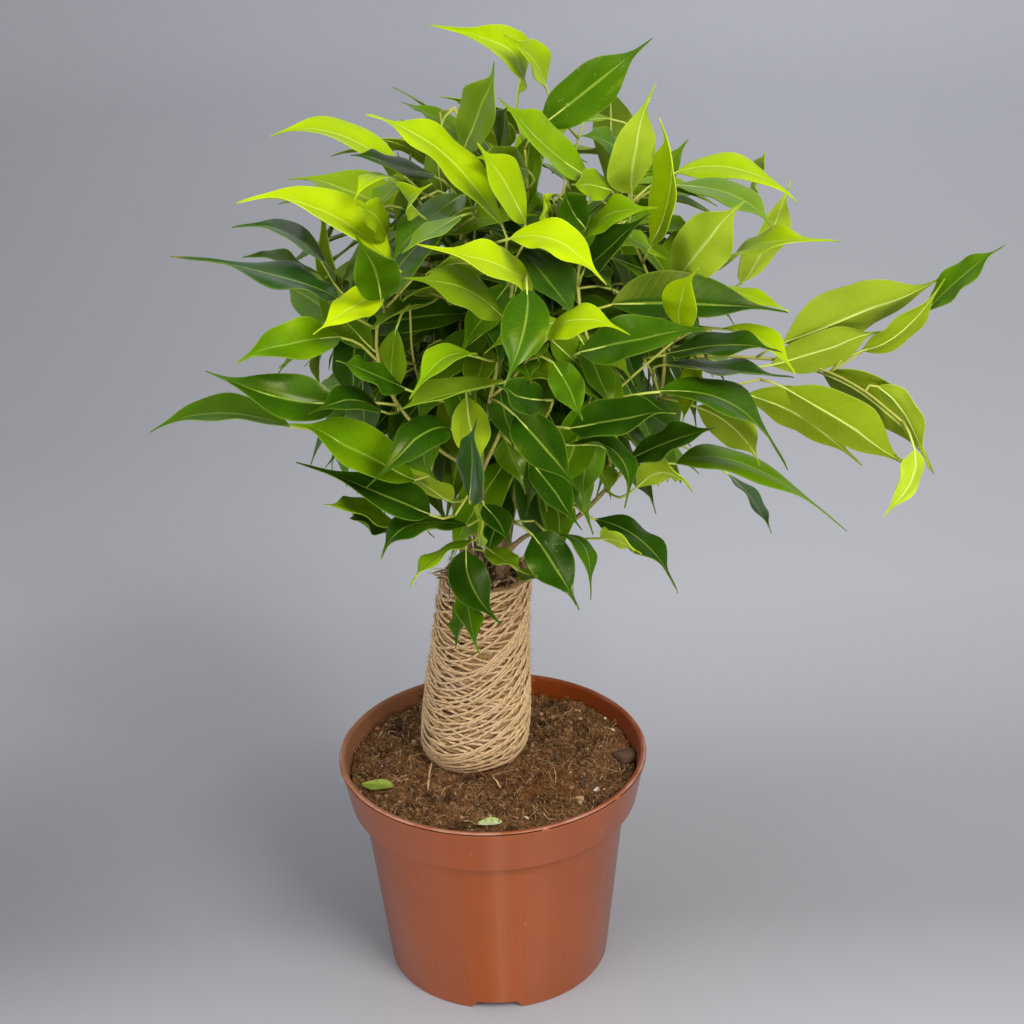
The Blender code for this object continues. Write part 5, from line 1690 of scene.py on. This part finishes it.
def make_twine(settings):
    draw = random.Random(SEED + 4)
    thick = settings.thickness
    back = twine_turns(0.0036, 0.0019, 1, (0.05, 0.40), (0.8, 0.7), thick * 1.8, 0.0035, draw)
    shape = new_shape()
    close_tubes(shape, add_strips(shape, [tube(back, lobe=0.1, ply=settings.ply)], 6))
    # Painted shade: the deepest turns get a copy of the jute painted at half brightness
    new_piece("twine_inner_turns", shape, [twine_finish("jute_in_shade", settings, 0.50)])
    outer = [
        twine_turns(0.0013, 0.0037, -1, (0.30, 0.26), (2.60, 2.30), thick, 0.0012, draw),
        twine_turns(0.0005, 0.0040, 1, (0.56, 0.90), (0.65, 0.60), thick, 0.0012, draw),
        twine_turns(0.0009, 0.0160, 1, (0.30, 0.50), (0.85, 0.70), thick, 0.0012, draw),
    ]
    middle = [
        twine_turns(0.0025, 0.0042, -1, (0.22, 0.20), (2.30, 2.10), thick, 0.0018, draw),
        twine_turns(0.0021, 0.0044, 1, (0.46, 0.76), (0.75, 0.65), thick, 0.0018, draw),
    ]
    # Painted shade: the middle turns get a copy of the jute painted darker, the outer ones the full colour
    for name, routes, finish, nodes in (
            ("twine_middle_turns", middle, twine_finish("jute_in_half_shade", settings, 0.78), []),
            ("twine_outer_turns", outer, twine_finish("jute", settings, 1.0), ["twine_wrap"])):
        shape = new_shape()
        strips = [tube(route, lobe=0.20, ply=settings.ply) for route in routes]
        close_tubes(shape, add_strips(shape, strips, 6))
        new_piece(name, shape, [finish], nodes)
    make_fuzz(settings, outer, draw)


def make_fuzz(settings, outer, draw):
    """Stray hairs of jute that stand off the turns."""
    strips = []
    for _ in range(settings.fuzz):
        route = draw.choice(outer)
        root = route[draw.randrange(len(route))].xyz
        share = (root.z - WRAP_FOOT.z) / (WRAP_TOP.z - WRAP_FOOT.z)
        out = root - WRAP_FOOT.lerp(WRAP_TOP, share)
        out.z = 0
        out.normalize()
        stray = Vector([draw.uniform(-1, 1) for _ in range(3)])
        way = (out * draw.uniform(0.15, 0.7) + stray).normalized()
        if way.dot(out) < 0:
            way = way - out * (2 * way.dot(out))
        length = 0.0010 + 0.0034 * draw.random() ** 2
        curl = Vector([draw.uniform(-1, 1) for _ in range(3)]) * 0.6
        line = []
        point = root + out * settings.thickness * 0.8
        for k in range(4):
            line.append(spot(point, 0.00005 if k < 3 else 0.00002))
            way = (way + curl * 0.3).normalized()
            point = point + way * (length / 3)
            point.z = max(point.z, SOIL_LEVEL + 0.0003)
        strips.append(tube(line, numbers={"tone": draw.uniform(0.6, 1.0)}))
    shape = new_shape()
    close_tubes(shape, add_strips(shape, strips, 3))
    new_piece("twine_fuzz", shape, [debris_finish()])


def make_packing():
    """The fibrous filling inside the winding, and the dry bits caught among the stems above it."""
    draw = random.Random(SEED + 5)
    finish = debris_finish()
    radius = WRAP_INNER_RADIUS - 0.0006
    height = WRAP_TOP.z - PACKING_DROP - WRAP_FOOT.z
    outline = [(0, 0), (radius, 0), (radius, height * 0.5)]
    outline += [(radius * (1 - k / 18), height) for k in range(19)]
    shape = turned(outline, 72)
    for corner in shape.verts:
        share = corner.co.z / height
        if share > 0.99 and math.hypot(corner.co.x, corner.co.y) < radius - 0.0002:
            corner.co.z += 0.0016 * noise.fractal(corner.co * 260, 0.5, 2.0, 3)
        corner.co += WRAP_FOOT.lerp(WRAP_TOP, share * height / (WRAP_TOP.z - WRAP_FOOT.z)).xy.to_3d()
        corner.co.z += WRAP_FOOT.z
    mark(shape, shape.verts, {"tone": 0.25})
    new_piece("coir_packing", shape, [finish], ["stem_packing"])
    shape = new_shape()
    strips = []
    for _ in range(260):
        angle = draw.uniform(0, math.tau)
        away = 0.0185 * math.sqrt(draw.random())
        start = WRAP_TOP + Vector((away * math.cos(angle), away * math.sin(angle),
                                   draw.uniform(-0.003, 0.004)))
        way = Vector([draw.uniform(-1, 1) for _ in range(3)]) + Vector((0, 0, 0.5))
        way.normalize()
        length = 0.002 + 0.010 * draw.random() ** 2
        curl = Vector([draw.uniform(-1, 1) for _ in range(3)]) * 0.5
        size = draw.uniform(0.00008, 0.0004) if draw.random() < 0.8 else draw.uniform(0.0005, 0.0009)
        line = []
        point = start
        for k in range(5):
            line.append(spot(point, size * (1.0 if k < 4 else 0.4)))
            way = (way + curl * 0.2).normalized()
            point = point + way * (length / 4)
        strips.append(tube(line, numbers={"tone": draw.random()}, flat=draw.uniform(0.3, 1.0)))
    corners = add_strips(shape, strips, 5)
    close_tubes(shape, corners)
    new_piece("dry_bits_among_stems", shape, [finish])


# Outline of a torn bit of leaf: the half widths of its two sides along its length
BIT_OUTLINE = (
    (0.00, 0.03, 0.03), (0.14, 0.30, 0.42), (0.32, 0.55, 0.95), (0.52, 0.70, 1.00), (0.70, 0.66, 0.74),
    (0.86, 0.45, 0.34), (1.00, 0.05, 0.05),
)


def make_fallen_leaves(settings):
    finish = fallen_finish()
    for n, (pixel, length, width, turn) in enumerate(FALLEN_LEAVES):
        centre = ground_point(pixel, SOIL_LEVEL)
        along = Vector((math.cos(turn), math.sin(turn), 0))
        side = Vector((-along.y, along.x, 0))
        shares = (-0.5, -0.25, 0.0, 0.25, 0.5)
        spots = [centre + along * (length * a) + side * (width * b) for a in shares for b in shares]
        level = max(soil_height(point.x, point.y) for point in spots) + 0.0008

        def place(k, share):
            t = k / 18
            v = share * 2 - 1
            (low, *first), (high, *last) = [pair for pair in zip(BIT_OUTLINE, BIT_OUTLINE[1:])
                                            if pair[0][0] <= t][-1]
            far, near = [a + (b - a) * (t - low) / (high - low) for a, b in zip(first, last)]
            half = width / 2 * (far if v > 0 else near)
            point = centre + along * (length * (t - 0.5)) + side * (half * v)
            ripple = 0.0003 * math.sin(7 * t + 3 * v + n)
            point.z = level + 0.0011 * max(0.0, v) ** 2 - 0.0006 * (2 * t - 1) ** 2 + ripple
            return point

        shape = new_shape()
        add_strips(shape, [Strip(19, place, {"tone": 0.12 + 0.75 * n})], 8)
        for edge in shape.edges:
            edge.smooth = not edge.is_boundary
        piece = new_piece(f"fallen_bit_{n + 1}", shape, [finish], [f"fallen_leaf_{n + 1}"])
        skin = piece.modifiers.new("thickness", "SOLIDIFY")
        skin.thickness = settings.thickness
        skin.offset = -1


def make_stage(settings):
    """A pale floor that curves up into the backdrop all round, soft lights and the camera."""
    shape = bmesh.new()
    radius, rise, bend = 3.2, 1.3, 1.2
    outline = [(0, 0), (radius - bend, 0)]
    outline += [(radius - bend + bend * math.sin(a), bend - bend * math.cos(a))
                for a in (math.pi / 2 * k / 16 for k in range(1, 17))]
    outline.append((radius, rise))
    corners = [shape.verts.new((r, 0, z)) for r, z in outline]
    edges = [shape.edges.new(pair) for pair in zip(corners, corners[1:])]
    bmesh.ops.spin(shape, geom=corners + edges, axis=(0, 0, 1), cent=(0, 0, 0), angle=math.tau, steps=96,
                   use_merge=True)
    bmesh.ops.remove_doubles(shape, verts=shape.verts, dist=0.00001)
    for face in shape.faces:
        face.smooth = True
    mesh = bpy.data.meshes.new("stage_floor")
    shape.to_mesh(mesh)
    shape.free()
    mesh.materials.append(stage_finish(settings))
    floor = bpy.data.objects.new("stage_floor", mesh)
    bpy.context.scene.collection.objects.link(floor)
    world = bpy.data.worlds.new("surround")
    world.use_nodes = True
    even = world.node_tree.nodes["Background"]
    even.inputs["Color"].default_value = (0.93, 0.96, 1.0, 1)
    even.inputs["Strength"].default_value = settings.surround
    bpy.context.scene.world = world
    add_light("key", (0.75, -1.05, 1.35), 0.70, 0.70, settings.key, (1.0, 0.98, 0.94))
    add_light("fill", (-1.2, -0.9, 0.9), 1.0, 1.0, settings.fill, (0.94, 0.97, 1.0))
    add_light("front", (0.02, -1.15, 0.20), 0.06, 0.34, settings.front, (1.0, 0.98, 0.94))
    ahead = sight_line(PICTURE_MIDDLE, PICTURE_MIDDLE)
    upward = sight_line(PICTURE_MIDDLE, 0) - sight_line(PICTURE_MIDDLE, PICTURE_SIDE)
    right = ahead.cross(upward).normalized()
    turn = Matrix((right, right.cross(ahead), -ahead)).transposed().to_4x4()
    lens = bpy.data.cameras.new("camera")
    lens.sensor_width = SENSOR_WIDTH
    lens.lens = SENSOR_WIDTH * VIEW_FOCAL / PICTURE_SIDE
    lens.clip_start = 0.01
    camera = bpy.data.objects.new("camera", lens)
    camera.matrix_world = Matrix.Translation(VIEW_POINT) @ turn
    bpy.context.scene.collection.objects.link(camera)
    bpy.context.scene.camera = camera
    bpy.context.scene.view_settings.view_transform = "Standard"


def add_light(name, place, width, height, power, colour):
    """A soft rectangular light that faces the plant."""
    lamp = bpy.data.lights.new(name, "AREA")
    lamp.shape = "RECTANGLE"
    lamp.size = width
    lamp.size_y = height
    lamp.energy = power
    lamp.color = colour
    holder = bpy.data.objects.new(name, lamp)
    aim = Vector((0, 0, 0.2)) - Vector(place)
    holder.location = place
    holder.rotation_euler = aim.to_track_quat("-Z", "Y").to_euler()
    bpy.context.scene.collection.objects.link(holder)


# Operators


class FIG_OT_pot(bpy.types.Operator):
    """Make the nursery pot"""
    bl_idname = "fig.pot"
    bl_label = "Nursery pot"

    def execute(self, context):
        make_pot(context.scene.fig_pot)
        return {"FINISHED"}


class FIG_OT_soil(bpy.types.Operator):
    """Make the soil with its crumbs and fibres"""
    bl_idname = "fig.soil"
    bl_label = "Soil"

    def execute(self, context):
        make_soil(context.scene.fig_soil)
        return {"FINISHED"}


class FIG_OT_twine(bpy.types.Operator):
    """Wind the jute twine round the bundle of stems"""
    bl_idname = "fig.twine"
    bl_label = "Twine winding"

    def execute(self, context):
        make_twine(context.scene.fig_twine)
        return {"FINISHED"}


class FIG_OT_packing(bpy.types.Operator):
    """Fill the winding and strew dry bits among the stems"""
    bl_idname = "fig.packing"
    bl_label = "Packing"

    def execute(self, context):
        make_packing()
        return {"FINISHED"}


class FIG_OT_twigs(bpy.types.Operator):
    """Grow the stems, twigs and petioles"""
    bl_idname = "fig.twigs"
    bl_label = "Stems and twigs"

    def execute(self, context):
        make_twigs(context.scene.fig_bark)
        return {"FINISHED"}


class FIG_OT_leaves(bpy.types.Operator):
    """Grow the leaves of the crown"""
    bl_idname = "fig.leaves"
    bl_label = "Leaves"

    def execute(self, context):
        make_leaves(context.scene.fig_leaves)
        return {"FINISHED"}


class FIG_OT_fallen_leaves(bpy.types.Operator):
    """Lay the fallen bits of leaf on the soil"""
    bl_idname = "fig.fallen_leaves"
    bl_label = "Fallen bits"

    def execute(self, context):
        make_fallen_leaves(context.scene.fig_leaves)
        return {"FINISHED"}


class FIG_OT_stage(bpy.types.Operator):
    """Set up the floor, the lights and the camera"""
    bl_idname = "fig.stage"
    bl_label = "Stage"

    def execute(self, context):
        make_stage(context.scene.fig_stage)
        return {"FINISHED"}


SETTINGS = {
    "fig_pot": PotSettings,
    "fig_soil": SoilSettings,
    "fig_twine": TwineSettings,
    "fig_leaves": LeafSettings,
    "fig_bark": BarkSettings,
    "fig_stage": StageSettings,
}
OPERATORS = (FIG_OT_pot, FIG_OT_soil, FIG_OT_twine, FIG_OT_packing, FIG_OT_twigs, FIG_OT_leaves,
             FIG_OT_fallen_leaves, FIG_OT_stage)


class FIG_PT_panel(bpy.types.Panel):
    """Lists the pieces of the fig with their settings"""
    bl_idname = "FIG_PT_panel"
    bl_label = "Bound weeping fig"
    bl_space_type = "VIEW_3D"
    bl_region_type = "UI"
    bl_category = "Fig"

    def draw(self, context):
        for name, group in SETTINGS.items():
            box = self.layout.box()
            for setting in group.__annotations__:
                box.prop(getattr(context.scene, name), setting)
        for operator in OPERATORS:
            self.layout.operator(operator.bl_idname)


def register():
    for group in SETTINGS.values():
        bpy.utils.register_class(group)
    for operator in OPERATORS:
        bpy.utils.register_class(operator)
    bpy.utils.register_class(FIG_PT_panel)
    for name, group in SETTINGS.items():
        setattr(bpy.types.Scene, name, PointerProperty(type=group))


def unregister():
    for name in SETTINGS:
        delattr(bpy.types.Scene, name)
    bpy.utils.unregister_class(FIG_PT_panel)
    for operator in reversed(OPERATORS):
        bpy.utils.unregister_class(operator)
    for group in reversed(list(SETTINGS.values())):
        bpy.utils.unregister_class(group)


def main():
    register()
    for operator in OPERATORS:
        family, name = operator.bl_idname.split(".")
        getattr(getattr(bpy.ops, family), name)()
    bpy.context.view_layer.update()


if __name__ == "__main__":
    main()
